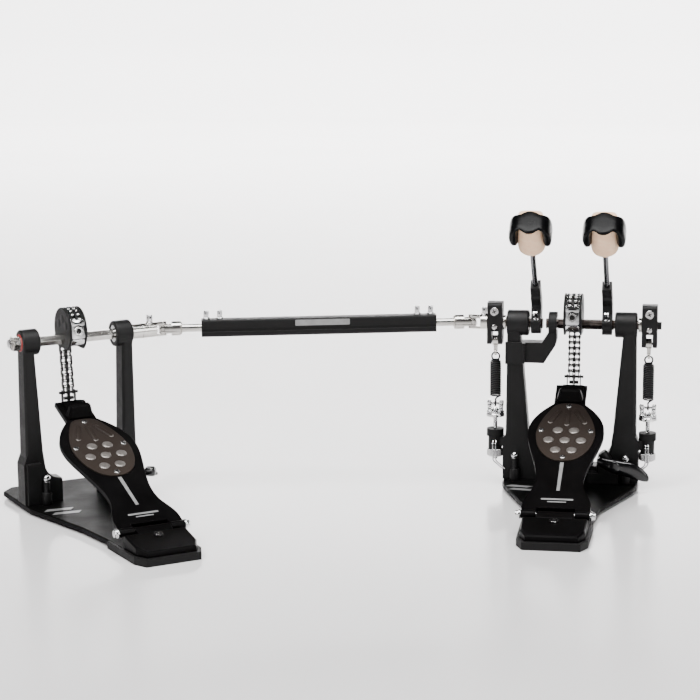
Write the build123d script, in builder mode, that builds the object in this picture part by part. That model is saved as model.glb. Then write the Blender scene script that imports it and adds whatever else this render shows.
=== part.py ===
from build123d import *

import os
from math import acos, asin, atan2, cos, degrees, hypot, radians, sin

# Double bass drum pedal: a main pedal with two beaters, a slave pedal for the other foot and a
# telescoping drive shaft with two universal joints between them. Millimetres, +Z up, +Y towards
# the drum, origin on the floor under the main pedal's shaft.

# Driving dimensions
SHAFT_Z = 186.0           # height of both pedals' shafts
SWING = 42.0              # lean of a beater rod at rest, and the swing to the drum head
ACROSS_FLATS = 10.6       # hexagonal shafts
JOURNAL_R = 5.0           # round ends of the shafts inside their bearings
RUNNING = 0.05            # radial clearance of a turning fit

HINGE_Y = -213.7          # heel hinge, player's side of the shaft
HINGE_Z = 22.6
BOARD_TILT = 21.7
BOARD_TOP = 2.8           # upper face of the footboard above the hinge axis
BOARD_THICK = 5.0
PIN_R = 2.5
HEEL_SCREW_Y = -231.0
HEEL_FRONT_Z = 14.0       # the heel casting slopes down to this height

PLATE_Z = 3.0             # underside of the steel base plate, on its rubber
PLATE_THICK = 5.0
PLATE_TOP = PLATE_Z + PLATE_THICK

CHAIN_PITCH = 6.35
CAM_R = 22.0              # pitch radius of the chain on the cam
CAM_CENTRE = (1.5, 195.5)  # Y and Z: the cam is eccentric, high above the shaft
CHAIN_X = 1.5             # the cam and chain stand a little right of the footboard's middle
TOE_PIN = (15.0, 122.8)   # chain anchor on the footboard's toe: Y and Z
ROLLER_R = 1.65
SPAN_PITCHES = 11         # free, straight chain
LOWER_PITCHES = 1         # chain that leaves the cam first
UPPER_PITCHES = 2
WRAP_PITCHES = 6          # chain that stays on the cam
PLATE_ANGLE = 172.0       # place of the chain's anchor plate on the cam

BEARING_R = 9.5
HOUSING_R = 14.2
MAIN_HOUSING_X = 60.0
MAIN_HOUSING_LENGTH = 24.5
SLAVE_HOUSING_LENGTH = 19.6
SLAVE_HOUSINGS = (-48.4, 59.6)
MAIN_DEPTH = 22.0         # uprights, drum side to player's side
SLAVE_DEPTH = 22.0

SPRING_X = 85.5
ROCKER_ARM = 20.4         # shaft axis to the spring's swivel
SPRING_HOOK_Z = 92.5      # cross pin of the crown nut, which holds the spring's lower hook
SPRING_RING_Z = 151.4     # wire of the spring's upper ring, in the swivel's eye
SPRING_R = 6.5

LEFT_BEATER_X = -40.0
RIGHT_BEATER_X = 39.0
HOLDER_WIDTH = 10.8
ROD_OFFSET = 18.0         # beater rod to shaft axis, on the drum side
ROD_R = 3.0
HEAD_ALONG = 133.0        # head centre along the rod, from the level of the shaft axis
HEAD_LENGTH = 42.0
HEAD_R = 15.0

RIGHT_CROSS_X = -112.2    # centre of the main pedal's universal joint
SLAVE_CROSS_X = 109.6     # centre of the slave's universal joint, in the slave's own frame
SLAVE_ORIGIN = (-534.4, -154.6)
SLAVE_TURN = 37.77
YOKE_R = 8.0
FORK_GAP = 4.5            # half the slot of a fork
FORK_HALF = 4.2           # half width of a fork's ear
CROSS_PIN_R = 2.0
CROSS_PLAY = 0.45         # play of the open ends of a cross, which move on a linear coupling
DRIVE_ROD_R = 4.25
KEY_BOLTS = (48.5, 63.5, 284.5, 299.5)    # along the drive shaft, from the slave's joint
CLAMP_PIN = (8.0, 34.0)   # Y and Z of the hoop clamp's hinge
WING_CENTRE = (50.0, -24.0, 30.0)

SLAVE = Location((SLAVE_ORIGIN[0], SLAVE_ORIGIN[1], 0), (0, 0, SLAVE_TURN))
SLAVE_CROSS = SLAVE.position + Vector(SLAVE_CROSS_X, 0, SHAFT_Z).rotate(Axis.Z, SLAVE_TURN)
MAIN_CROSS = Vector(RIGHT_CROSS_X, 0, SHAFT_Z)
DRIVE_RUN = MAIN_CROSS - SLAVE_CROSS
DRIVE_LENGTH = DRIVE_RUN.length
# Local X of the drive plane is level and points away from the player, local Y points up.
DRIVE_PLANE = Plane(origin=SLAVE_CROSS, x_dir=(-DRIVE_RUN.Y, DRIVE_RUN.X, 0), z_dir=DRIVE_RUN)


# Planes and small helpers

def side(x):
    """Plane across the shaft at x: local X is +Y, local Y is up, origin on the shaft axis."""
    return Plane(origin=(x, 0, SHAFT_Z), x_dir=(0, 1, 0), z_dir=(1, 0, 0))


def leaning(x):
    """The same plane tilted with a beater at rest: local Y runs along the rod."""
    tilt = radians(SWING)
    return Plane(origin=(x, 0, SHAFT_Z), x_dir=(0, cos(tilt), sin(tilt)), z_dir=(1, 0, 0))


def across(x):
    """The same plane with its origin on the floor: local coordinates are Y and Z."""
    return Plane(origin=(x, 0, 0), x_dir=(0, 1, 0), z_dir=(1, 0, 0))


def board_plane(height=0.0):
    """Plane parallel to the footboard: local Y runs from the hinge to the toe."""
    tilt = radians(BOARD_TILT)
    plane = Plane(origin=(0, HINGE_Y, HINGE_Z), x_dir=(1, 0, 0), z_dir=(0, -sin(tilt), cos(tilt)))
    return plane.offset(height)


def on_board(x, y, height):
    """Plane parallel to the footboard whose origin is a point of it."""
    plane = board_plane(height)
    return Plane(origin=plane.from_local_coords((x, y, 0)), x_dir=plane.x_dir, z_dir=plane.z_dir)


def both_sides(points):
    """An outline from its right half, heel to toe."""
    return points + [(-x, y) for x, y in reversed(points)]


def slab(plane, points, amount, mode=Mode.ADD, radius=0.0):
    """Straight-sided plate from its corner points, with its corners rounded."""
    with BuildSketch(plane) as profile:
        with BuildLine():
            Polyline(*points, close=True)
        make_face()
        if radius:
            fillet(profile.vertices(), radius)
    extrude(profile.sketch, amount=amount, mode=mode)


def disc(plane, radius, amount, mode=Mode.ADD):
    """Round bar standing on a plane."""
    with Locations(plane):
        Cylinder(radius, amount, align=(Align.CENTER, Align.CENTER, Align.MIN), mode=mode)


def hexagon(plane, across, amount, mode=Mode.ADD):
    """Hexagonal bar standing on a plane."""
    with BuildSketch(plane) as profile:
        RegularPolygon(across / 2, 6, major_radius=False)
    extrude(profile.sketch, amount=amount, mode=mode)


def bar(start, end, radius, mode=Mode.ADD):
    """Round bar between two points."""
    run = Vector(*end) - Vector(*start)
    disc(Plane(origin=start, z_dir=run), radius, run.length, mode)


def key_bolt(plane, head=5.0, height=9.5):
    """Square-headed drum-key bolt on a round collar, standing on a plane."""
    disc(plane, 0.75 * head, 2)
    with BuildSketch(plane.offset(1.5)) as square:
        Rectangle(head, head)
    extrude(square.sketch, amount=height - 1.5)


def save(piece, name, place=Location()):
    """Label a finished piece and write it, moved to its pedal's place."""
    piece.part = piece.part.moved(place)
    piece.part.label = name
    export_step(piece.part, f"parts/{name}.step")


# Base, uprights and heel

def base_plate(front, front_half):
    """Steel plate: a narrow heel that widens to a foot under the uprights."""
    half = [(27, -266), (34, -252), (35, -185), (41, -124), (front_half - 3, -38), (front_half, -24),
            (front_half, front - 14), (front_half - 14, front)]
    with BuildPart() as plate:
        slab(Plane.XY.offset(PLATE_Z), both_sides(half), PLATE_THICK)
        fillet(plate.edges().filter_by(Axis.Z), 3)
        chamfer(plate.faces().sort_by(Axis.Z)[-1].edges(), 0.8)
    return plate


def rubber_pad(foot_x, foot_ys):
    """Rubber shoe round the heel, a strip under the uprights and round feet beside it."""
    outer = [(30, -270), (37, -254), (38, -186)]
    inner = [(27.1, -266.1), (34.1, -252), (35.1, -186)]
    with BuildPart() as pad:
        slab(Plane.XY, both_sides(outer), PLATE_TOP)
        slab(Plane.XY.offset(PLATE_Z), both_sides(inner), PLATE_THICK, Mode.SUBTRACT)
        slab(Plane.XY, [(-foot_x, -9), (foot_x, -9), (foot_x, 9), (-foot_x, 9)], PLATE_Z, radius=4)
        for x in (-foot_x, foot_x):
            for y in foot_ys:
                disc(Plane((x, y, 0)), 8, PLATE_Z)
    return pad


def upright(hand, centre, length, depth, top_width, low_width):
    """Cast post with its bearing housing and a foot that spreads inwards.

    hand is 1 for a right-hand post and -1 for its mirror image.
    """
    outer = centre + length / 2 + 0.75
    inner_top = outer - top_width
    inner_low = outer - low_width
    foot = centre - 30
    profile = [(inner_top, SHAFT_Z - 6), (outer - 1.2, SHAFT_Z - 6), (outer, 60), (outer + 3, 52),
               (outer + 3, PLATE_TOP), (foot, PLATE_TOP), (foot, 34), (inner_low - 4, 36),
               (inner_low, 66)]
    with BuildPart() as post:
        with BuildSketch(Plane.XZ.offset(-depth / 2)) as front:
            with BuildLine():
                Polyline(*[(hand * x, z) for x, z in profile], close=True)
            make_face()
            fillet(front.vertices().sort_by_distance((hand * (inner_low - 4), 36))[0], 18)
        extrude(amount=depth)
        fillet(post.edges().filter_by(lambda e: e.length > 80), 3)
        disc(side(hand * centre - length / 2), HOUSING_R, length)
        rims = post.edges().filter_by(GeomType.CIRCLE).filter_by(lambda e: abs(e.radius - HOUSING_R) < 0.01)
        fillet(rims.group_by(Axis.X)[0] + rims.group_by(Axis.X)[-1], 2)
        disc(side(hand * centre - length / 2), BEARING_R, length, Mode.SUBTRACT)
    return post


def main_upright(hand):
    """Upright with the arm that carries the spring's tension screw."""
    post = upright(hand, MAIN_HOUSING_X, MAIN_HOUSING_LENGTH, MAIN_DEPTH, 15.5, 25.5)
    with post:
        with Locations(((hand * (SPRING_X - 6.5), 0, 50))):
            Box(15, 12, 10)
        disc(Plane((hand * SPRING_X, 0, 41.8)), 7.9, 13.7)
        disc(Plane((hand * SPRING_X, 0, 41)), 5, 15, Mode.SUBTRACT)
    return post


def bearing(centre, length):
    """Bearing ring: the shaft's journal turns in its bore. Joins the current part."""
    disc(side(centre - length / 2), BEARING_R, length)
    disc(side(centre - length / 2), JOURNAL_R + RUNNING, length, Mode.SUBTRACT)


def heel_block():
    """Heel casting that slopes to the player, with the middle knuckle of the footboard's hinge."""
    plan = [(27, -265), (33.5, -251), (34, -222)]
    with BuildPart() as heel:
        slab(Plane.XY.offset(PLATE_TOP), both_sides(plan), HINGE_Z - PLATE_TOP)
        slab(across(-40), [(-270, HEEL_FRONT_Z), (-265, HEEL_FRONT_Z), (-222, HINGE_Z), (-222, 30),
                           (-270, 30)], 80, Mode.SUBTRACT)
        chamfer(heel.faces().sort_by(Axis.Z)[-1].edges(), 1.4)
        with BuildSketch(Plane.YZ.offset(-19.5)) as knuckle:
            with BuildLine():
                Polyline((HINGE_Y - 10, HINGE_Z), (HINGE_Y, HINGE_Z + 4.6), (HINGE_Y + 4.6, HINGE_Z),
                         (HINGE_Y + 4.6, PLATE_TOP), (HINGE_Y - 10, PLATE_TOP), close=True)
            make_face()
            fillet(knuckle.vertices().sort_by(Axis.Y)[-1], 3)
        extrude(knuckle.sketch, amount=39)
        bar((-40, HINGE_Y, HINGE_Z), (40, HINGE_Y, HINGE_Z), PIN_R, Mode.SUBTRACT)
    return heel


def fasteners(spikes):
    """Heel hinge pin with domed nuts, the heel screw and the ball-headed floor spikes."""
    with BuildPart() as group:
        bar((-39, HINGE_Y, HINGE_Z), (39, HINGE_Y, HINGE_Z), PIN_R)
        for end in (-1, 1):
            bar((end * 36.4, HINGE_Y, HINGE_Z), (end * 38.4, HINGE_Y, HINGE_Z), 4.8)
            bar((end * 38.4, HINGE_Y, HINGE_Z), (end * 41.5, HINGE_Y, HINGE_Z), 3.8)
        fall = (HINGE_Z - HEEL_FRONT_Z) / 43
        seat = (0, HEEL_SCREW_Y, HINGE_Z + (HEEL_SCREW_Y + 222) * fall)
        disc(Plane(origin=seat, z_dir=(0, -fall, 1)), 4.5, 1.6)
        for x, y in spikes:
            with Locations((x, y, 37)):
                Sphere(4.2)
            bar((x, y, 37), (x, y, 20), 3.0)
            bar((x, y, 20), (x, y, 9), 2.4)
    return group


# Footboard

def footboard():
    """Waisted board: straight at the heel, widest under the ball of the foot, narrow at the toe."""
    with BuildPart() as board:
        with BuildSketch(board_plane(BOARD_TOP - BOARD_THICK)) as outline:
            with BuildLine():
                Line((0, 2), (35.8, 2))
                Line((35.8, 2), (35.8, 15))
                Spline((35.8, 15), (27.6, 42), (39.5, 130), (17.2, 202),
                       tangents=((-0.1, 1), (-0.5, 0.55)))
                Line((17.2, 202), (17.2, 240))
                Line((17.2, 240), (0, 240))
                mirror(about=Plane.YZ)
            make_face()
            with Locations((0, 4)):
                Rectangle(40.4, 9, mode=Mode.SUBTRACT)
        extrude(amount=BOARD_THICK)
        for end in (-1, 1):
            bar((end * 20.2, HINGE_Y, HINGE_Z), (end * 35.8, HINGE_Y, HINGE_Z), 4.4)
        bar((-40, HINGE_Y, HINGE_Z), (40, HINGE_Y, HINGE_Z), PIN_R + RUNNING, Mode.SUBTRACT)
    return board


def traction_plate():
    """Pear-shaped tread plate with raised dots and four screws."""
    top = BOARD_TOP + 1.4
    with BuildPart() as tread:
        with BuildSketch(board_plane(BOARD_TOP)) as outline:
            with BuildLine():
                Spline((0, 92.5), (17.2, 100), (26.4, 118), (30.6, 143), (25.2, 180), (17.6, 199),
                       tangents=((1, 0), (-0.7, 0.7)))
                Line((17.6, 199), (0, 200))
                mirror(about=Plane.YZ)
            make_face()
        extrude(amount=1.4)
        for row, count in ((148.5, 2), (130, 3), (111.5, 2)):
            for k in range(count):
                disc(on_board((k - (count - 1) / 2) * 17.6, row, top), 5.4, 0.7)
        for x, y in ((0, 195), (-25.6, 148), (25.6, 148), (0, 99.5)):
            disc(on_board(x, y, top), 3.2, 1.0)
    return tread


def toe_bracket():
    """Chain clevis on the toe and the tapered hood in front of it."""
    floor = board_plane(BOARD_TOP)
    heel_side = floor.from_local_coords((0, 218, 1))
    toe_side = floor.from_local_coords((0, 239, 1))
    cheek = [(heel_side.Y, heel_side.Z), (toe_side.Y, toe_side.Z),
             (TOE_PIN[0] + 5.2, TOE_PIN[1] - 5), (TOE_PIN[0] + 5.2, TOE_PIN[1] + 5.2),
             (TOE_PIN[0] - 5.2, TOE_PIN[1] + 5.2)]
    foot = [(14.8, 203.5), (15.2, 214.5), (-15.2, 214.5), (-14.8, 203.5)]
    crown = [(11.2, 209), (11.2, 214.5), (-11.2, 214.5), (-11.2, 209)]
    with BuildPart() as bracket:
        with BuildSketch(floor) as floor_plate:
            with Locations((CHAIN_X, 227)):
                Rectangle(24, 24)
        extrude(amount=1.5)
        for x in (CHAIN_X - 11.2, CHAIN_X + 8.6):
            slab(across(x), cheek, 2.6)
        disc(Plane(origin=(CHAIN_X - 12, *TOE_PIN), z_dir=(1, 0, 0)), 3.6, 24, Mode.SUBTRACT)
        with BuildSketch(floor) as hood_foot:
            with BuildLine():
                Polyline(*foot, close=True)
            make_face()
        with BuildSketch(floor.offset(14.4)) as hood_crown:
            with BuildLine():
                Polyline(*crown, close=True)
            make_face()
        loft([hood_foot.sketch.face(), hood_crown.sketch.face()])
    return bracket


# Chain and cam

TOE_RUN = (TOE_PIN[0] - CAM_CENTRE[0], TOE_PIN[1] - CAM_CENTRE[1])
LEAVE_ANGLE = degrees(atan2(TOE_RUN[1], TOE_RUN[0]) + acos(CAM_R / hypot(*TOE_RUN)))
PITCH_ANGLE = degrees(2 * asin(CHAIN_PITCH / 2 / CAM_R))


def cam_point(angle, radius=CAM_R):
    """Y and Z of a point on the cam, by its angle above the drum side."""
    return (CAM_CENTRE[0] + radius * cos(radians(angle)),
            CAM_CENTRE[1] + radius * sin(radians(angle)))


def cam_pins(first, last):
    """Chain pins on the cam, counted in pitches up from where the chain leaves it."""
    step = 1 if last > first else -1
    return [cam_point(LEAVE_ANGLE + k * PITCH_ANGLE) for k in range(first, last + step, step)]


def span_pins():
    """Pins of the straight chain from the cam to the toe."""
    y, z = cam_point(LEAVE_ANGLE)
    down = [k / SPAN_PITCHES for k in range(SPAN_PITCHES + 1)]
    return [(y + (TOE_PIN[0] - y) * t, z + (TOE_PIN[1] - z) * t) for t in down]


def chain(pins, parity, toe_end=False):
    """Double-strand roller chain. The last pin belongs to the next piece, so it is a hole here,
    but at the toe it is a longer pin that reaches into the clevis."""
    strand = 3.2
    with BuildPart() as links:
        for y, z in pins[:-1]:
            bar((CHAIN_X - 7.1, y, z), (CHAIN_X + 7.1, y, z), 1.0)
            for x in (CHAIN_X - strand, CHAIN_X + strand):
                bar((x - 1.5, y, z), (x + 1.5, y, z), ROLLER_R)
        for k, (start, end) in enumerate(zip(pins, pins[1:])):
            reach = 1.6 if (k + parity) % 2 else 2.5
            middle = ((start[0] + end[0]) / 2, (start[1] + end[1]) / 2)
            turn = degrees(atan2(end[1] - start[1], end[0] - start[0]))
            for x in (CHAIN_X - strand - reach - 0.8, CHAIN_X - strand + reach,
                      CHAIN_X + strand - reach - 0.8, CHAIN_X + strand + reach):
                with BuildSketch(across(x)) as plate:
                    with Locations(middle):
                        SlotCenterToCenter(CHAIN_PITCH, 5.0, rotation=turn)
                extrude(amount=0.8)
        y, z = pins[-1]
        if toe_end:
            bar((CHAIN_X - 10.8, y, z), (CHAIN_X + 10.8, y, z), 1.5)
        else:
            bar((CHAIN_X - 8, y, z), (CHAIN_X + 8, y, z), 1.12, Mode.SUBTRACT)
    return links


def cam():
    """Eccentric chain wheel: a flat bed for the chain between two flanges, cut off under its hub."""
    bed_r = CAM_R - 3.1
    flange_r = CAM_R + 2.5
    with BuildPart() as wheel:
        for x, width, radius in ((CHAIN_X - 8, 16, bed_r), (CHAIN_X - 10, 2.2, flange_r),
                                 (CHAIN_X + 7.8, 2.2, flange_r)):
            disc(Plane(origin=(x, *CAM_CENTRE), x_dir=(0, 1, 0), z_dir=(1, 0, 0)), radius, width)
        slab(side(CHAIN_X - 15), [(-40, -10.5), (5, -10.5), (40, -13), (40, -40), (-40, -40)], 30,
             Mode.SUBTRACT)
        for angle in (30, 90, 150):
            y, z = cam_point(angle, 12.0)
            bar((CHAIN_X - 15, y, z), (CHAIN_X + 15, y, z), 4.2, Mode.SUBTRACT)
        hexagon(side(CHAIN_X - 15), ACROSS_FLATS + 0.04, 30, Mode.SUBTRACT)
        rims = wheel.edges().filter_by(GeomType.CIRCLE).filter_by(lambda e: e.radius > flange_r - 0.1)
        chamfer(rims, 0.6)
    return wheel


def chain_on_cam():
    """Chain that stays on the cam, and the chrome plate and screw that hold its end."""
    links = chain(cam_pins(WRAP_PITCHES + UPPER_PITCHES + LOWER_PITCHES,
                           UPPER_PITCHES + LOWER_PITCHES), 0)
    y, z = cam_point(PLATE_ANGLE, CAM_R - 2.7)
    face = Plane(origin=(CHAIN_X, y, z), x_dir=(1, 0, 0),
                 z_dir=(0, cos(radians(PLATE_ANGLE)), sin(radians(PLATE_ANGLE))))
    with links:
        with BuildSketch(face) as plate:
            RectangleRounded(14.6, 20, 1.5)
        extrude(plate.sketch, amount=3)
        disc(face.offset(2.5), 4.6, 2.2)
        with BuildSketch(face.offset(4.2)) as slot:
            Rectangle(3.4, 3.4)
        extrude(slot.sketch, amount=1.4, mode=Mode.SUBTRACT)
    return links


# Shafts, beater holders, rockers

def shaft(journals, start, end):
    """Hexagonal bar along X with round journals where it runs in bearings."""
    with BuildPart() as bar_stock:
        cuts = sorted([start, end] + [x for pair in journals for x in pair])
        for left, right in zip(cuts, cuts[1:]):
            if (left, right) in journals:
                disc(side(left), JOURNAL_R, right - left)
            else:
                hexagon(side(left), ACROSS_FLATS, right - left)
    return bar_stock


def beater_holder(x):
    """Clamp block on the shaft that carries the beater rod on its drum side."""
    left = x - HOLDER_WIDTH / 2
    outline = [(-10, 4), (-8, 12), (4, 13), (10, 20), (10, 30), (12, 33), (12, 46), (25, 46),
               (26, 12), (23, 2), (8, -9)]
    with BuildPart() as holder:
        disc(side(left), 11.8, HOLDER_WIDTH)
        slab(leaning(left), outline, HOLDER_WIDTH, radius=0.8)
        hexagon(side(left - 1), ACROSS_FLATS + 0.04, HOLDER_WIDTH + 2, Mode.SUBTRACT)
        rod = leaning(x)
        bar(rod.from_local_coords((ROD_OFFSET, -9, 0)), rod.from_local_coords((ROD_OFFSET, 60, 0)),
            ROD_R + RUNNING, Mode.SUBTRACT)
        key_bolt(Plane(origin=rod.from_local_coords((-3, 12.2, 0)), z_dir=rod.y_dir), 5, 12)
    return holder


def facing_player(x, y, z):
    """Plane whose normal points to the player."""
    return Plane(origin=(x, y, z), x_dir=(1, 0, 0), z_dir=(0, -1, 0))


def rocker(hand):
    """Lever that pulls the spring, with its screws and the collar beside the bearing.

    It is clamped on the shaft and forked below for the spring's swivel.
    """
    inner = 77.6
    width = 16.8
    left = inner if hand > 0 else -inner - width
    middle = hand * (inner + width / 2)
    with BuildPart() as lever:
        with BuildSketch(side(left)) as outline:
            with Locations((0, -0.5)):
                RectangleRounded(21, 47, 4)
        extrude(amount=width)
        with Locations((middle, 0, SHAFT_Z - 18)):
            Box(7.6, 30, 18, mode=Mode.SUBTRACT)
        collar = 74.0 if hand > 0 else -77.0
        disc(side(collar), 8.0, 3)
        hexagon(side(left - 5), ACROSS_FLATS + 0.04, width + 10, Mode.SUBTRACT)
        bar((left, 0, SHAFT_Z - ROCKER_ARM), (left + width, 0, SHAFT_Z - ROCKER_ARM), 1.5)
        disc(facing_player(middle, -10.5, SHAFT_Z + 14), 4.4, 2.4)
        disc(facing_player(middle, -10.5, SHAFT_Z - 4), 3.0, 1.6)
        if hand > 0:
            hexagon(side(94.8), 8, 4.2)
    return lever


# Beaters

def beater_rod(x):
    """Steel rod that slides in its holder and ends inside the head."""
    plane = leaning(x)
    with BuildPart() as rod:
        bar(plane.from_local_coords((ROD_OFFSET, 8, 0)),
            plane.from_local_coords((ROD_OFFSET, HEAD_ALONG + 12, 0)), ROD_R)
    return rod


def head_sketch(grow=0.0):
    """Cross-section of a beater core: round towards the player, flat towards the drum."""
    Circle(HEAD_R + grow)
    with Locations((0, 8.5)):
        Rectangle(29 + 2 * grow, 17 + 2 * grow)


def head_plane(x, along):
    """Plane across the beater head: local X is the shaft's X, local Y points to the drum."""
    tilt = radians(SWING)
    origin = leaning(x).from_local_coords((ROD_OFFSET, along, 0))
    return Plane(origin=origin, x_dir=(1, 0, 0), z_dir=(0, -sin(tilt), cos(tilt)))


def beater_core(x):
    """Felt core, bored for the rod."""
    with BuildPart() as core:
        with BuildSketch(head_plane(x, HEAD_ALONG - HEAD_LENGTH / 2)):
            head_sketch()
        extrude(amount=HEAD_LENGTH)
        chamfer(core.edges().group_by(Axis.Z)[-1], 1.5)
        plane = leaning(x)
        bar(plane.from_local_coords((ROD_OFFSET, HEAD_ALONG - 30, 0)),
            plane.from_local_coords((ROD_OFFSET, HEAD_ALONG + 12, 0)), ROD_R, Mode.SUBTRACT)
    return core


def beater_band(x):
    """Rubber saddle over the top and both sides of the core."""
    plane = head_plane(x, HEAD_ALONG)
    front = Plane(origin=plane.origin, x_dir=(1, 0, 0), z_dir=plane.y_dir)
    half_x = 23.0
    top = HEAD_LENGTH / 2 + 3.5
    with BuildPart() as band:
        with BuildSketch(front.offset(-14)) as outline:
            with BuildLine():
                Polyline(*[(half_x - 3, 12), (half_x, 4), (half_x, -10), (14, -top), (-14, -top),
                           (-half_x, -10), (-half_x, 4), (-half_x + 3, 12)], close=True)
            make_face()
            fillet(outline.vertices(), 2.5)
        extrude(amount=26)
        with BuildSketch(head_plane(x, HEAD_ALONG - HEAD_LENGTH)):
            head_sketch(0.05)
        extrude(amount=HEAD_LENGTH * 1.5 + 0.05, mode=Mode.SUBTRACT)
    return band


# Springs and their tension screws

def spring(hand):
    """Closed stand-in for the coil, with its upper ring and lower hook."""
    x = hand * SPRING_X
    with BuildPart() as coil:
        disc(Plane((x, 0, 101)), SPRING_R, 43)
        chamfer(coil.edges().sort_by(Axis.Z)[-1], 2.5)
        with Locations(Plane(origin=(x, 0, SPRING_RING_Z - 4.4), z_dir=(0, 1, 0))):
            Torus(4.4, 0.85)
        with Locations(Plane(origin=(x, 0, SPRING_HOOK_Z + 1), z_dir=(1, 0, 0))):
            Torus(3.4, 0.85)
        bar((x, 0, SPRING_HOOK_Z + 4.4), (x, 0, 101.5), 0.85)
    return coil


def spring_link(hand):
    """Swivel between rocker and spring: a wide eye on the rocker's pin, a small one on the ring."""
    x = hand * SPRING_X
    pivot = SHAFT_Z - ROCKER_ARM
    low = SPRING_RING_Z + 1.8
    with BuildPart() as link:
        disc(Plane(origin=(x - 3.2, 0, pivot), z_dir=(1, 0, 0)), 5.6, 6.4)
        with Locations((x, 0, (pivot - 4 + low) / 2)):
            Box(4.4, 2.6, pivot - 4 - low)
        disc(Plane(origin=(x - 1.2, 0, SPRING_RING_Z), z_dir=(1, 0, 0)), 3, 2.4)
        disc(Plane(origin=(x - 4, 0, pivot), z_dir=(1, 0, 0)), 3.5, 8, Mode.SUBTRACT)
        disc(Plane(origin=(x - 3, 0, SPRING_RING_Z), z_dir=(1, 0, 0)), 1.5, 6, Mode.SUBTRACT)
    return link


def tension_rods():
    """Threaded rods with their crown nuts, and the wire clips that lock the thumb nuts."""
    with BuildPart() as rods:
        for hand in (-1, 1):
            x = hand * SPRING_X
            disc(Plane((x, 0, 29)), 2.45, 50)
            disc(Plane((x, 0, 78)), 10.2, 6)
            for ear in (-1, 1):
                with Locations((x + ear * 7.2, 0, 90)):
                    Box(4.6, 9, 13)
            bar((x - 9.4, 0, SPRING_HOOK_Z), (x + 9.4, 0, SPRING_HOOK_Z), 1.3)
            for shift in (-1.5, 1.5):
                bends = [(x + shift, -8.6, 51), (x + shift, -12, 46), (x + shift, -12, 29),
                         (hand * 74.6 + shift, -12, 20)]
                for start, end in zip(bends, bends[1:]):
                    bar(start, end, 0.8)
                with Locations(bends[1:3]):
                    Sphere(0.8)
    return rods


def tension_sleeves():
    """Flanged sleeves that guide the tension rods through the arms of the uprights."""
    with BuildPart() as sleeves:
        for hand in (-1, 1):
            x = hand * SPRING_X
            disc(Plane((x, 0, 41.8)), 4.95, 14)
            disc(Plane((x, 0, 55.6)), 9.7, 8.4)
            disc(Plane((x, 0, 38)), 2.5, 40, Mode.SUBTRACT)
    return sleeves


def tension_nuts():
    """Knurled thumb nuts under the arms."""
    with BuildPart() as nuts:
        for hand in (-1, 1):
            x = hand * SPRING_X
            disc(Plane((x, 0, 32)), 9.3, 9.7)
            disc(Plane((x, 0, 31)), 2.5, 12, Mode.SUBTRACT)
        chamfer(nuts.edges().filter_by(GeomType.CIRCLE).filter_by(lambda e: e.radius > 9), 0.8)
    return nuts


# Universal joints and drive shaft

def fork(plane, length, play, bore=0.0):
    """Forked yoke. The plane stands on the cross's centre with its normal towards the yoke's body
    and its local X along the pin through the two ears."""
    root = 9.8
    ear_side = Plane(origin=plane.origin, x_dir=plane.y_dir, z_dir=plane.x_dir)
    with BuildPart() as yoke:
        with BuildSketch(ear_side) as ear:
            Circle(FORK_HALF)
            with Locations((0, (root + 1) / 2)):
                Rectangle(2 * FORK_HALF, root + 1)
        extrude(amount=YOKE_R, both=True)
        disc(plane.offset(-FORK_HALF - 1), YOKE_R, 20, Mode.INTERSECT)
        with BuildSketch(ear_side) as slot:
            Rectangle(30, 2 * root)
        extrude(amount=FORK_GAP, both=True, mode=Mode.SUBTRACT)
        disc(plane.offset(root), YOKE_R, length - root)
        with BuildSketch(ear_side) as hole:
            Circle(CROSS_PIN_R + play)
        extrude(amount=YOKE_R + 1, both=True, mode=Mode.SUBTRACT)
        if bore:
            floor = Plane(origin=plane.offset(root + 1).origin, x_dir=plane.y_dir, z_dir=plane.z_dir)
            hexagon(floor, bore, length, Mode.SUBTRACT)
    return yoke


def cross(centre, level_pin):
    """Cross of a universal joint: one upright pin pair and one level pair."""
    with BuildPart() as spider:
        with Locations(Plane(origin=centre, x_dir=level_pin, z_dir=(0, 0, 1))):
            Box(8.2, 8.2, 8.2)
        reach = YOKE_R - 0.5
        for direction in (Vector(0, 0, 1), Vector(*level_pin)):
            bar(centre - direction * reach, centre + direction * reach, CROSS_PIN_R)
    return spider


def drive_tube():
    """Extruded square tube with a shallow groove towards the player."""
    with BuildPart() as tube:
        with BuildSketch(DRIVE_PLANE.offset(43)) as section:
            RectangleRounded(16, 19, 2)
            Circle(DRIVE_ROD_R + RUNNING, mode=Mode.SUBTRACT)
            with Locations((-8, -1.8)):
                Rectangle(2.4, 3.6, mode=Mode.SUBTRACT)
        extrude(amount=262.5)
        for along in KEY_BOLTS:
            bar(drive_point(along, 3), drive_point(along, 12), 2.0, Mode.SUBTRACT)
    return tube


def drive_point(along, up=0.0):
    """Point on the drive shaft's upright centre plane, by its distance from the slave's joint."""
    return DRIVE_PLANE.from_local_coords((0, up, along))


def tube_key_bolts():
    """Drum-key bolts that clamp the rods in the tube."""
    with BuildPart() as bolts:
        for along in KEY_BOLTS:
            disc(Plane(origin=drive_point(along, DRIVE_ROD_R + 0.3), z_dir=(0, 0, 1)), 1.95, 6)
            key_bolt(Plane(origin=drive_point(along, 9.5), z_dir=(0, 0, 1)))
    return bolts


# Hoop clamp

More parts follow.
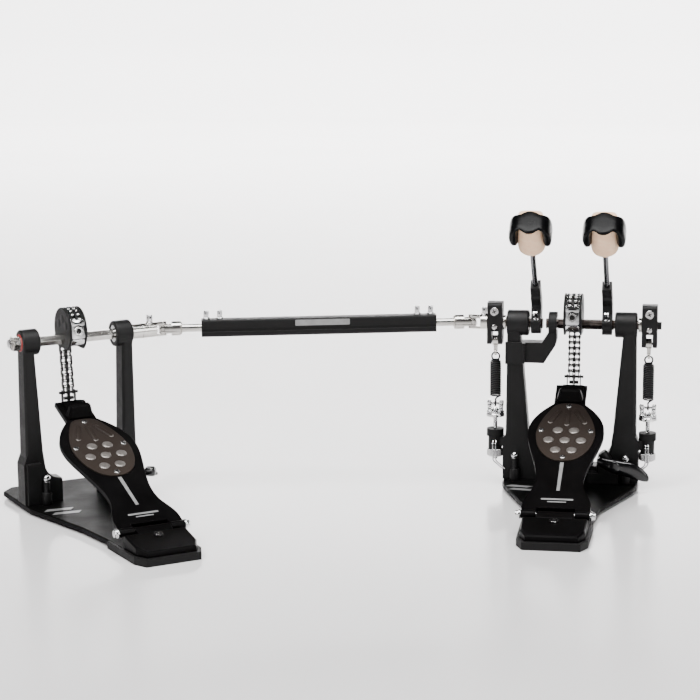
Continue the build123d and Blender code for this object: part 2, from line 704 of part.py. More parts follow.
def clamp_base():
    """Clamp block between the uprights' feet, its hinge pin and the lever's threaded boss."""
    with BuildPart() as base:
        with Locations((0, 3, PLATE_TOP + 8.5)):
            Box(59, 22, 17)
        for x in (-25, 21):
            slab(across(x), [(-4, PLATE_TOP + 10), (16, PLATE_TOP + 10), (14, 40), (2, 40)], 4)
        bar((-25, *CLAMP_PIN), (25, *CLAMP_PIN), 3)
        with Locations((43, -16, PLATE_TOP + 13)):
            Box(22, 9, 26)
        with Locations((26.5, -16, PLATE_TOP + 6)):
            Box(13, 9, 12)
        with Locations((24.75, -9.5, PLATE_TOP + 6)):
            Box(9.5, 6, 12)
        x, y, z = WING_CENTRE
        bar((x, y + 12, z), (x, y + 3, z), 3.4 + RUNNING, Mode.SUBTRACT)
    return base


def clamp_jaw():
    """Claw that presses the drum's hoop on the base plate."""
    outline = [(-8, 29), (-8, 37), (4, 40.5), (26, 40), (43, 31), (45, 22), (37, 22), (34, 28),
               (18, 29), (8, 28.5)]
    with BuildPart() as jaw:
        slab(across(-20.5), outline, 41)
        fillet(jaw.edges().filter_by(Axis.X), 1.2)
        disc(Plane(origin=(-22, *CLAMP_PIN), z_dir=(1, 0, 0)), 3 + RUNNING, 44, Mode.SUBTRACT)
    return jaw


def clamp_lever():
    """Winged clamp screw: one long wing to the right, a short one to the left."""
    x, y, z = WING_CENTRE
    wing = [(-18, 9), (-19, 1), (-6, -6), (6, -8), (30, -17), (39, -15), (38, -8), (24, 3), (7, 7)]
    with BuildPart() as lever:
        bar((x, y + 2.5, z), (x, -13, z), 3.4)
        with BuildSketch(facing_player(x, y + 2.5, z)) as outline:
            with BuildLine():
                Polyline(*wing, close=True)
            make_face()
            fillet(outline.vertices(), 2.2)
        extrude(amount=7)
        disc(facing_player(x, y + 2.5, z), 7, 10)
        chamfer(lever.faces().filter_by(Axis.Y).sort_by(Axis.Y)[0].edges(), 1)
    return lever


# Build and write every piece

os.makedirs("parts", exist_ok=True)
ARM_BEARING_X = -21.2

save(base_plate(48, 75), "main_base_plate")
save(rubber_pad(58, (-20, 26)), "main_rubber_pad")
save(main_upright(-1), "main_left_upright")
save(main_upright(1), "main_right_upright")
save(heel_block(), "main_heel_block")
save(fasteners([(-62, -16), (62, -16)]), "main_fasteners")

with BuildPart() as inner_bracket:
    bracket_outline = [(-61, 142), (-30.5, 142), (-18, 162), (-16.6, 168), (-16.6, 186), (-25.8, 186),
                       (-26, 176), (-33, 165), (-61, 165)]
    slab(Plane.XZ.offset(-9), bracket_outline, 18)
    with Locations((-64, -12.4, 153.5)):
        Box(19, 2.6, 25)
    with Locations((-54.2, -10.9, 153.5)):
        Box(5, 5.6, 23)
    disc(side(-25.8), 13, 9.2)
    slab(Plane.XZ.offset(-MAIN_DEPTH / 2), [(-75, 141), (-54.03, 141), (-56.57, 170), (-75, 170)],
         MAIN_DEPTH, Mode.SUBTRACT)
    disc(side(-27), 8.0, 12, Mode.SUBTRACT)
save(inner_bracket, "inner_bearing_bracket")

with BuildPart() as main_bearings:
    for housing in (-MAIN_HOUSING_X, MAIN_HOUSING_X):
        bearing(housing, MAIN_HOUSING_LENGTH - 1)
    disc(side(ARM_BEARING_X - 4.6), 7.98, 9.2)
    disc(side(ARM_BEARING_X - 4.6), JOURNAL_R + RUNNING, 9.2, Mode.SUBTRACT)
save(main_bearings, "main_bearings")

save(tension_sleeves(), "tension_sleeves")
save(tension_rods(), "tension_rods")
save(tension_nuts(), "tension_nuts")
save(clamp_base(), "hoop_clamp_base")
save(clamp_jaw(), "hoop_clamp_jaw")
save(clamp_lever(), "hoop_clamp_lever")

save(shaft([(-27.0, -15.4), (46.4, 73.6)], -29.0, 94.8), "main_shaft")
save(cam(), "main_cam")
save(beater_holder(RIGHT_BEATER_X), "right_beater_holder")
save(rocker(1), "right_rocker")

save(shaft([(-73.6, -46.4)], -98.0, -32.5), "left_shaft")
save(beater_holder(LEFT_BEATER_X), "left_beater_holder")
save(rocker(-1), "left_rocker")
main_yoke = fork(Plane(origin=MAIN_CROSS, x_dir=(0, 0, 1), z_dir=(1, 0, 0)), 17.4, RUNNING,
                 ACROSS_FLATS + 0.04)
with main_yoke:
    key_bolt(Plane((-98.6, 0, SHAFT_Z + YOKE_R - 0.8)))
save(main_yoke, "main_side_yoke")

for hand_name, beater_x in (("left", LEFT_BEATER_X), ("right", RIGHT_BEATER_X)):
    save(beater_rod(beater_x), f"{hand_name}_beater_rod")
    save(beater_core(beater_x), f"{hand_name}_beater_core")
    save(beater_band(beater_x), f"{hand_name}_beater_band")

for hand_name, hand_sign in (("left", -1), ("right", 1)):
    save(spring(hand_sign), f"{hand_name}_spring")
    save(spring_link(hand_sign), f"{hand_name}_spring_link")

for pedal, pedal_place in (("main", Location()), ("slave", SLAVE)):
    save(footboard(), f"{pedal}_footboard", pedal_place)
    save(traction_plate(), f"{pedal}_traction_plate", pedal_place)
    save(toe_bracket(), f"{pedal}_toe_bracket", pedal_place)
    save(chain_on_cam(), f"{pedal}_chain_on_cam", pedal_place)
    save(chain(cam_pins(LOWER_PITCHES + UPPER_PITCHES, LOWER_PITCHES), WRAP_PITCHES),
         f"{pedal}_chain_upper", pedal_place)
    save(chain(cam_pins(LOWER_PITCHES, 0), WRAP_PITCHES + UPPER_PITCHES),
         f"{pedal}_chain_lower", pedal_place)
    save(chain(span_pins(), WRAP_PITCHES + UPPER_PITCHES + LOWER_PITCHES, toe_end=True),
         f"{pedal}_chain_span", pedal_place)

save(drive_tube(), "drive_tube")
save(tube_key_bolts(), "tube_key_bolts")
level_pin = DRIVE_PLANE.x_dir
slave_end = Plane(origin=SLAVE_CROSS, x_dir=level_pin, z_dir=DRIVE_PLANE.z_dir)
main_end = Plane(origin=MAIN_CROSS, x_dir=level_pin, z_dir=-DRIVE_PLANE.z_dir)
for rod_name, end_plane, rod_length in (("left_drive_rod", slave_end, 110),
                                        ("right_drive_rod", main_end, 90)):
    drive_rod = fork(end_plane, 20, CROSS_PLAY)
    with drive_rod:
        disc(end_plane.offset(19), DRIVE_ROD_R, rod_length - 19)
    save(drive_rod, rod_name)
save(cross(SLAVE_CROSS, level_pin), "left_cross")
save(cross(MAIN_CROSS, level_pin), "right_cross")

save(base_plate(74, 62), "slave_base_plate", SLAVE)
save(rubber_pad(46, (-20, 50)), "slave_rubber_pad", SLAVE)
left_housing, right_housing = SLAVE_HOUSINGS
with BuildPart() as slave_uprights:
    add(upright(-1, -left_housing, SLAVE_HOUSING_LENGTH, SLAVE_DEPTH, 13.5, 20).part)
    add(upright(1, right_housing, SLAVE_HOUSING_LENGTH, SLAVE_DEPTH, 13.5, 16).part)
    with Locations((left_housing - 3.5, -2.5, PLATE_TOP + 23)):
        Box(16, SLAVE_DEPTH + 5, 46)
save(slave_uprights, "slave_uprights", SLAVE)
save(heel_block(), "slave_heel_block", SLAVE)
slave_fasteners = fasteners([(left_housing + 9, -18), (right_housing, -16)])
with slave_fasteners:
    for housing in SLAVE_HOUSINGS:
        bearing(housing, SLAVE_HOUSING_LENGTH - 1)
save(slave_fasteners, "slave_fasteners", SLAVE)

slave_bar = shaft([(-59.2, -37.6), (48.8, 70.4)], -69.0, 92.0)
with slave_bar:
    hexagon(side(-67), 15, 8)
save(slave_bar, "slave_shaft", SLAVE)
save(cam(), "slave_cam", SLAVE)
slave_yoke = fork(Plane(origin=(SLAVE_CROSS_X, 0, SHAFT_Z), x_dir=(0, 0, 1), z_dir=(-1, 0, 0)),
                  SLAVE_CROSS_X - 70.8, RUNNING, ACROSS_FLATS + 0.04)
with slave_yoke:
    key_bolt(Plane((93.8, 0, SHAFT_Z + YOKE_R - 0.8)))
save(slave_yoke, "slave_side_yoke", SLAVE)
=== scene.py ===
import math

import bmesh
import bpy
from mathutils import Matrix, Vector


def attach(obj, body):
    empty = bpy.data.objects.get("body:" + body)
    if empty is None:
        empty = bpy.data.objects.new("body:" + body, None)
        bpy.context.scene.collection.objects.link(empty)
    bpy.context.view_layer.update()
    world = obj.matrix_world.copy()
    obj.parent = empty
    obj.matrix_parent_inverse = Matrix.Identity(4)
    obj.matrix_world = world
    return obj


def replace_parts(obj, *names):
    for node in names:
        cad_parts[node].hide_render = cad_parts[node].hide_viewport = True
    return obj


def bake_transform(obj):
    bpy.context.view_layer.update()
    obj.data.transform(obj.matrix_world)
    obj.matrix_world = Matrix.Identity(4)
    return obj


# Looks of the double bass drum pedal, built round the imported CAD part. Lengths in the helpers are
# millimetres in the main pedal's frame; they turn into metres when a mesh is finished.

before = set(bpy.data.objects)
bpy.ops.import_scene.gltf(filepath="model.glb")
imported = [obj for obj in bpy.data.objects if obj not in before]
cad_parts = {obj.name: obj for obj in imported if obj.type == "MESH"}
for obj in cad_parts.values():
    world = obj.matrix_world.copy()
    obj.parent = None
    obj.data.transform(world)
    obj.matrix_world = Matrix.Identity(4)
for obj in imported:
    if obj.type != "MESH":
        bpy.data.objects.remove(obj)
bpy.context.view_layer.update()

TO_METRES = Matrix.Scale(0.001, 4)
MAIN = Matrix.Identity(4)
SLAVE = Matrix.Translation((-534.4, -154.6, 0)) @ Matrix.Rotation(math.radians(37.77), 4, "Z")
BASE_TOP = 8.0
SHAFT_Z = 186.0
PLAYER = (0, -1, 0)

# Beaters lean back by SWING from upright; their rods stand at BEATER_X on the shafts.
SWING = math.radians(42.0)
BEATER_X = {"right": 39.0, "left": -40.0}
ROCKER_X = 86.0
SPRING_X = 85.5

# Footboards: the hinge's axis, the tilt at rest, the heights of the board's and the tread's faces.
HINGE_Y, HINGE_Z = -213.7, 22.6
BOARD_TILT = math.radians(21.7)
BOARD_FACE = 2.8
TREAD_FACE = 4.2
PRINT_THICK = 0.16
HEEL_SCREW = (0, -231.0, 20.8)
HEEL_SLOPE = 0.2

# Chain and cam, both centred on CHAIN_X. The cam's middle is above the shaft, a little nearer the drum.
CHAIN_X = 1.5
CHAIN_PITCH = 6.35
SPAN_PITCHES = 11
LAST_CAM_PIN = 9
CAM_Y, CAM_Z, CAM_R = 1.5, 195.5, 22.0
CAM_FACES = (-8.5, 11.5)
CAM_HOLE_ANGLES = (30, 90, 150)
CAM_HOLE_RING = 12.0
TOE_Y, TOE_Z = 15.0, 122.8
PLATE_ANGLE = 172.0
PLATE_SEAT = 19.3
PLATE_FACE = 22.4

# Drive shaft, from the slave's universal joint to the main one.
DRIVE_TURN = math.radians(14.6)
RIGHT_CROSS_X = -112.2
DRIVE_LENGTH = 346.7
TUBE_BOLTS = (48.5, 63.5, 284.5, 299.5)

CLAMP_SCREW = (50.0, -21.5, 30.0)
SPIKES = {"main": ((-62, -16), (62, -16)), "slave": ((-39.4, -18), (59.6, -16))}


# Materials

def surface(name, dark, light, metallic=0.0, rough=(0.35, 0.5), grain=90.0, stretch=(1, 1, 1),
            bump=0.1, bump_grain=1500.0, coat=0.0, edge=0.0005, top_light=0.0, sheen=0.0, specular=0.5):
    """Procedural finish: mottled colour and roughness, fine relief, softened edges, painted top light on
    upward faces.
    """
    mat = bpy.data.materials.new(name)
    mat.use_nodes = True
    nodes, links = mat.node_tree.nodes, mat.node_tree.links
    shader = nodes["Principled BSDF"]
    coord = nodes.new("ShaderNodeTexCoord")
    mapping = nodes.new("ShaderNodeMapping")
    mapping.inputs["Scale"].default_value = stretch
    links.new(coord.outputs["Object"], mapping.inputs["Vector"])

    broad = nodes.new("ShaderNodeTexNoise")
    broad.inputs["Scale"].default_value = grain
    broad.inputs["Detail"].default_value = 5.0
    links.new(mapping.outputs["Vector"], broad.inputs["Vector"])
    fine = nodes.new("ShaderNodeTexNoise")
    fine.inputs["Scale"].default_value = bump_grain
    fine.inputs["Detail"].default_value = 3.0
    links.new(mapping.outputs["Vector"], fine.inputs["Vector"])

    spread = nodes.new("ShaderNodeMapRange")
    spread.inputs["From Min"].default_value = 0.3
    spread.inputs["From Max"].default_value = 0.7
    links.new(broad.outputs["Fac"], spread.inputs["Value"])
    tint = nodes.new("ShaderNodeMix")
    tint.data_type = "RGBA"
    tint.inputs["A"].default_value = (*dark, 1)
    tint.inputs["B"].default_value = (*light, 1)
    links.new(spread.outputs["Result"], tint.inputs["Factor"])
    colour = tint.outputs["Result"]

    # Painted top light: faces that point upward are mixed towards pale grey, as if lit from above; the amount
    # is mottled by the broad noise.
    if top_light:
        geometry = nodes.new("ShaderNodeNewGeometry")
        split = nodes.new("ShaderNodeSeparateXYZ")
        links.new(geometry.outputs["Normal"], split.inputs["Vector"])
        lie = nodes.new("ShaderNodeMapRange")
        lie.inputs["From Min"].default_value = 0.4
        lie.inputs["From Max"].default_value = 1.0
        lie.inputs["To Max"].default_value = top_light
        links.new(split.outputs["Z"], lie.inputs["Value"])
        top_light_share = nodes.new("ShaderNodeMath")
        top_light_share.operation = "MULTIPLY"
        links.new(lie.outputs["Result"], top_light_share.inputs[0])
        links.new(broad.outputs["Fac"], top_light_share.inputs[1])
        top_light_mix = nodes.new("ShaderNodeMix")
        top_light_mix.data_type = "RGBA"
        top_light_mix.inputs["B"].default_value = (0.55, 0.53, 0.51, 1)
        links.new(top_light_share.outputs["Value"], top_light_mix.inputs["Factor"])
        links.new(colour, top_light_mix.inputs["A"])
        colour = top_light_mix.outputs["Result"]
    links.new(colour, shader.inputs["Base Color"])

    gloss = nodes.new("ShaderNodeMapRange")
    gloss.inputs["From Min"].default_value = 0.25
    gloss.inputs["From Max"].default_value = 0.75
    gloss.inputs["To Min"].default_value = rough[0]
    gloss.inputs["To Max"].default_value = rough[1]
    links.new(broad.outputs["Fac"], gloss.inputs["Value"])
    links.new(gloss.outputs["Result"], shader.inputs["Roughness"])

    soften = nodes.new("ShaderNodeBevel")
    soften.samples = 4
    soften.inputs["Radius"].default_value = edge
    relief = nodes.new("ShaderNodeBump")
    relief.inputs["Strength"].default_value = bump
    relief.inputs["Distance"].default_value = 0.0004
    links.new(fine.outputs["Fac"], relief.inputs["Height"])
    links.new(soften.outputs["Normal"], relief.inputs["Normal"])
    links.new(relief.outputs["Normal"], shader.inputs["Normal"])

    shader.inputs["Metallic"].default_value = metallic
    shader.inputs["Coat Weight"].default_value = coat
    shader.inputs["Coat Roughness"].default_value = 0.12
    shader.inputs["Sheen Weight"].default_value = sheen
    shader.inputs["Specular IOR Level"].default_value = specular
    return mat


# CAST and RUBBER carry a little painted top light on their upward faces.
CAST = surface("cast_black", (0.0018, 0.0017, 0.0018), (0.0040, 0.0037, 0.0039), 0.0, (0.40, 0.55), 60,
               bump=0.35, bump_grain=1900, edge=0.0009, top_light=0.006, specular=0.25)
BOARD = surface("board_black", (0.0014, 0.0012, 0.0013), (0.0028, 0.0025, 0.0027), 0.0, (0.3, 0.4), 25,
                bump=0.12, bump_grain=2400, edge=0.0012, specular=0.05)
PLATE = surface("plate_black", (0.0012, 0.0012, 0.0012), (0.0025, 0.0025, 0.0024), 0.0, (0.42, 0.54), 40,
                bump=0.2, bump_grain=1700, edge=0.0009, specular=0.04)
RUBBER = surface("rubber_black", (0.0022, 0.0022, 0.0022), (0.0045, 0.0042, 0.0042), 0.0, (0.5, 0.68), 70,
                 bump=0.4, bump_grain=1200, edge=0.0009, top_light=0.008, specular=0.2)
BAND = surface("band_rubber", (0.0014, 0.0014, 0.0016), (0.0030, 0.0030, 0.0033), 0.0, (0.22, 0.3), 50,
               bump=0.1, bump_grain=1500, edge=0.0007, specular=0.09)
FELT = surface("felt_cream", (0.92, 0.59, 0.38), (0.97, 0.69, 0.48), 0.0, (0.8, 0.95), 160,
               stretch=(1, 1, 1.6), bump=0.4, bump_grain=2600, edge=0.0008, sheen=0.15, specular=0.1)
NICKEL = surface("bright_steel", (0.55, 0.53, 0.50), (0.70, 0.68, 0.65), 1.0, (0.14, 0.27), 45,
                 stretch=(1, 5, 5), bump=0.06, bump_grain=900, edge=0.0004)
CHROME = surface("chrome", (0.62, 0.62, 0.63), (0.78, 0.78, 0.78), 1.0, (0.05, 0.14), 60,
                 bump=0.05, bump_grain=1300, edge=0.0004)
STEEL = surface("dark_steel", (0.055, 0.045, 0.041), (0.10, 0.085, 0.08), 1.0, (0.2, 0.34), 35,
                stretch=(1, 9, 9), bump=0.08, bump_grain=700, edge=0.0004)
ROD = surface("rod_chrome", (0.16, 0.16, 0.17), (0.27, 0.27, 0.28), 1.0, (0.1, 0.22), 60,
              stretch=(6, 1, 1), bump=0.04, bump_grain=900, edge=0.0003)
SPRING = surface("spring_black", (0.004, 0.004, 0.0045), (0.009, 0.009, 0.0095), 0.0, (0.38, 0.5), 130,
                 bump=0.12, bump_grain=1500, edge=0.0002, specular=0.25)
CHAIN = surface("chain_dark", (0.008, 0.008, 0.009), (0.026, 0.025, 0.024), 0.8, (0.28, 0.46), 260,
                bump=0.2, bump_grain=2200, edge=0.0002)
PIN = surface("chain_pin", (0.42, 0.42, 0.42), (0.70, 0.69, 0.68), 1.0, (0.13, 0.3), 300,
              bump=0.1, bump_grain=1800, edge=0.0002)
BRONZE = surface("smoked_bronze", (0.013, 0.0095, 0.008), (0.022, 0.0165, 0.014), 0.2, (0.3, 0.42), 18,
                 bump=0.05, bump_grain=900, edge=0.0006, specular=0.2)
LENS = surface("dot_silver", (0.15, 0.135, 0.125), (0.24, 0.22, 0.205), 0.6, (0.3, 0.42), 240,
               bump=0.1, bump_grain=1500, coat=0.15, edge=0.0003)
SILVER = surface("silver_print", (0.22, 0.22, 0.22), (0.30, 0.30, 0.30), 0.2, (0.35, 0.5), 120,
                 bump=0.08, bump_grain=1600, edge=0.0002)
# Painted shade: near-black stand-in for the shade inside screw recesses, sockets and cross holes.
PAINTED_SHADE = surface("recess", (0.002, 0.002, 0.002), (0.005, 0.005, 0.005), 0.0, (0.5, 0.7), 200,
               bump=0.1, bump_grain=1500, edge=0.0002, specular=0.2)
SEAL = surface("red_seal", (0.30, 0.014, 0.014), (0.42, 0.03, 0.028), 0.0, (0.35, 0.5), 150,
               bump=0.1, bump_grain=1200, edge=0.0002)
WING = surface("wing_black", (0.0025, 0.0025, 0.003), (0.005, 0.005, 0.0055), 0.0, (0.1, 0.2), 40,
               bump=0.05, bump_grain=900, coat=0.5, edge=0.0008, specular=0.45)


def tread_gradient():
    """The tread darkens towards the toe."""
    nodes, links = BRONZE.node_tree.nodes, BRONZE.node_tree.links
    shader = nodes["Principled BSDF"]
    source = shader.inputs["Base Color"].links[0].from_socket
    coord = nodes.new("ShaderNodeTexCoord")
    split = nodes.new("ShaderNodeSeparateXYZ")
    links.new(coord.outputs["Object"], split.inputs["Vector"])
    along = nodes.new("ShaderNodeMapRange")
    along.inputs["From Min"].default_value = 0.062
    along.inputs["From Max"].default_value = 0.100
    along.inputs["To Min"].default_value = 0.85
    along.inputs["To Max"].default_value = 0.0
    links.new(split.outputs["Z"], along.inputs["Value"])
    warm = nodes.new("ShaderNodeMix")
    warm.data_type = "RGBA"
    warm.inputs["B"].default_value = (0.036, 0.027, 0.022, 1)
    links.new(along.outputs["Result"], warm.inputs["Factor"])
    links.new(source, warm.inputs["A"])
    links.new(warm.outputs["Result"], shader.inputs["Base Color"])


tread_gradient()


# Mesh helpers

def axes(origin, x_dir, z_dir):
    """Matrix of a local frame from its origin, X and Z directions."""
    z = Vector(z_dir).normalized()
    x = (Vector(x_dir) - Vector(x_dir).dot(z) * z).normalized()
    y = z.cross(x)
    return Matrix(((x.x, y.x, z.x, origin[0]), (x.y, y.y, z.y, origin[1]),
                   (x.z, y.z, z.z, origin[2]), (0, 0, 0, 1)))


def piece(name, bm, material, body, place=MAIN, angle=35.0):
    """Turn a finished bmesh into an object; it rides on a CAD body where one is given."""
    bmesh.ops.recalc_face_normals(bm, faces=bm.faces)
    mesh = bpy.data.meshes.new(name)
    bm.to_mesh(mesh)
    bm.free()
    mesh.transform(TO_METRES @ place)
    mesh.materials.append(material)
    mesh.shade_smooth()
    mesh.set_sharp_from_angle(angle=math.radians(angle))
    obj = bpy.data.objects.new(name, mesh)
    bpy.context.scene.collection.objects.link(obj)
    if body:
        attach(obj, body)
    return obj


def ring_strip(bm, rings, closed=False):
    """Skin a list of vertex rings; the ends are capped unless the strip is closed."""
    count = len(rings[0])
    pairs = list(zip(rings, rings[1:]))
    if closed:
        pairs.append((rings[-1], rings[0]))
    for low, high in pairs:
        for k in range(count):
            j = (k + 1) % count
            bm.faces.new((low[k], low[j], high[j], high[k]))
    if not closed:
        bm.faces.new(rings[0])
        bm.faces.new(rings[-1])


def lathe(bm, profile, place, sides=40):
    """Surface of revolution about local Z from (radius, height) pairs."""
    rings = []
    for radius, height in profile:
        ring = []
        for k in range(sides):
            turn = 2 * math.pi * k / sides
            ring.append(bm.verts.new(place @ Vector((radius * math.cos(turn),
                                                     radius * math.sin(turn), height))))
        rings.append(ring)
    ring_strip(bm, rings)


def prism(bm, outline, low, high, place, bevel=0.0, steps=2):
    """Extruded outline along local Z with rounded edges."""
    bottom = [bm.verts.new(place @ Vector((x, y, low))) for x, y in outline]
    top = [bm.verts.new(place @ Vector((x, y, high))) for x, y in outline]
    faces_before = set(bm.faces)
    ring_strip(bm, [bottom, top])
    if bevel:
        edges = {e for f in bm.faces if f not in faces_before for e in f.edges}
        bmesh.ops.bevel(bm, geom=list(edges), offset=bevel, segments=steps, affect="EDGES",
                        profile=0.5, clamp_overlap=True)


def block(bm, size, place, bevel=0.0):
    """Box centred on the local origin."""
    x, y, z = (s / 2 for s in size)
    prism(bm, [(-x, -y), (x, -y), (x, y), (-x, y)], -z, z, place, bevel)


def wire(bm, path, radius, sides=10, closed=False):
    """Round wire along a path of points."""
    points = [Vector(p) for p in path]
    rings = []
    up = None
    for k, point in enumerate(points):
        before = points[k - 1] if k or closed else point
        after = points[(k + 1) % len(points)] if k < len(points) - 1 or closed else point
        run = (after - before).normalized()
        if up is None:
            up = run.orthogonal().normalized()
        up = (up - up.dot(run) * run).normalized()
        across = run.cross(up)
        ring = []
        for j in range(sides):
            turn = 2 * math.pi * j / sides
            ring.append(bm.verts.new(point + radius * (math.cos(turn) * up + math.sin(turn) * across)))
        rings.append(ring)
    ring_strip(bm, rings, closed)


def capsule(length, width, steps=8):
    """Outline of a slot along local Y."""
    half, radius = length / 2 - width / 2, width / 2
    points = []
    for k in range(steps + 1):
        turn = math.pi * k / steps
        points.append((radius * math.cos(turn), half + radius * math.sin(turn)))
    for k in range(steps + 1):
        turn = math.pi + math.pi * k / steps
        points.append((radius * math.cos(turn), -half + radius * math.sin(turn)))
    return points


def rounded(width, height, radius, steps=5):
    """Outline of a rectangle with round corners."""
    points = []
    for corner, (sx, sy) in enumerate(((1, 1), (-1, 1), (-1, -1), (1, -1))):
        for k in range(steps + 1):
            turn = math.pi / 2 * (corner + k / steps)
            points.append((sx * (width / 2 - radius) + radius * math.cos(turn),
                           sy * (height / 2 - radius) + radius * math.sin(turn)))
    return points


def leaning(x, n, w):
    """Point by its distances towards the drum and up along a beater rod at rest."""
    return Vector((x, n * math.cos(SWING) - w * math.sin(SWING),
                   SHAFT_Z + n * math.sin(SWING) + w * math.cos(SWING)))


def on_board(x, y, height):
    """Frame on the footboard: local X to the right, local Y to the toe."""
    along = Vector((0, math.cos(BOARD_TILT), math.sin(BOARD_TILT)))
    normal = Vector((0, -math.sin(BOARD_TILT), math.cos(BOARD_TILT)))
    origin = Vector((x, HINGE_Y, HINGE_Z)) + y * along + height * normal
    return axes(origin, (1, 0, 0), normal)


def on_cam(angle, radius, x=CHAIN_X):
    """Frame on the cam's rim: local Z outwards, X along the shaft, Y over the top to the drum."""
    turn = math.radians(angle)
    out = Vector((0, math.cos(turn), math.sin(turn)))
    return axes(Vector((x, CAM_Y, CAM_Z)) + radius * out, (1, 0, 0), out)


def drive(side, up, along):
    """Point on the drive shaft: away from the player, up, and along from the slave's joint."""
    left = Vector((RIGHT_CROSS_X - DRIVE_LENGTH * math.cos(DRIVE_TURN),
                   -DRIVE_LENGTH * math.sin(DRIVE_TURN), SHAFT_Z))
    return left + along * Vector((math.cos(DRIVE_TURN), math.sin(DRIVE_TURN), 0)) \
        + side * Vector((-math.sin(DRIVE_TURN), math.cos(DRIVE_TURN), 0)) + Vector((0, 0, up))


def screw(name, place, radius, height, body, pedal=MAIN, recess=True, metal=None):
    """Domed screw head on a frame, with a cross recess."""
    bm = bmesh.new()
    lathe(bm, [(radius, -0.2), (radius, height * 0.45), (radius * 0.93, height * 0.75),
               (radius * 0.74, height * 0.94), (radius * 0.45, height * 1.03),
               (radius * 0.1, height * 1.06)], place, 28)
    piece(name, bm, metal or CHROME, body, pedal)
    if recess:
        # Painted shade: the cross recess is a dark raised cross on the dome, standing in for the shade in a
        # cut recess.
        bm = bmesh.new()
        for turn in (0.4, 0.4 + math.pi / 2):
            arm = place @ Matrix.Rotation(turn, 4, "Z") @ Matrix.Translation((0, 0, height * 0.97))
            block(bm, (radius * 1.05, radius * 0.26, height * 0.24), arm, 0.05)
        piece(name + "_recess", bm, PAINTED_SHADE, body, pedal)


def key_bolt(name, place, height, body, pedal=MAIN, head=5.2):
    """Drum-key bolt: collar, neck, square head with softened corners and a cross hole."""
    bm = bmesh.new()
    lathe(bm, [(3.2, -0.1), (3.9, 0.2), (3.95, 1.6), (3.3, 2.2), (2.4, 2.5), (2.3, 3.4)], place, 28)
    middle = place @ Matrix.Translation((0, 0, (height + 2.4) / 2))
    block(bm, (head, head, height - 2.3), middle, 0.75)
    piece(name, bm, CHROME, body, pedal)
    # Painted shade: dark rods through the head stand in for the shade inside the cross hole.
    bm = bmesh.new()
    for turn in (0, math.pi / 2):
        hole = place @ Matrix.Translation((0, 0, height - 3.0)) @ Matrix.Rotation(turn, 4, "Z") \
            @ Matrix.Rotation(math.pi / 2, 4, "Y")
        lathe(bm, [(1.05, -head / 2 - 0.06), (1.05, head / 2 + 0.06)], hole, 16)
    piece(name + "_hole", bm, PAINTED_SHADE, body, pedal)


# Beaters

def head_frame(x):
    """Frame at the middle of a beater head: local X along the shaft, Y to the drum, Z up the rod."""
    return axes(leaning(x, 18.0, 133.0), (1, 0, 0), (0, -math.sin(SWING), math.cos(SWING)))


def core_ring(scale_x, round_y, flat_y, steps=40):
    """Head section: round towards the player, flat with soft corners towards the drum."""
    points = []
    for k in range(steps):
        turn = 2 * math.pi * k / steps
        c, s = math.cos(turn), math.sin(turn)
        if s < 0:
            points.append((scale_x * c, round_y * s))
        else:
            power = 0.42
            points.append((scale_x * math.copysign(abs(c) ** power, c), flat_y * abs(s) ** power))
    return points


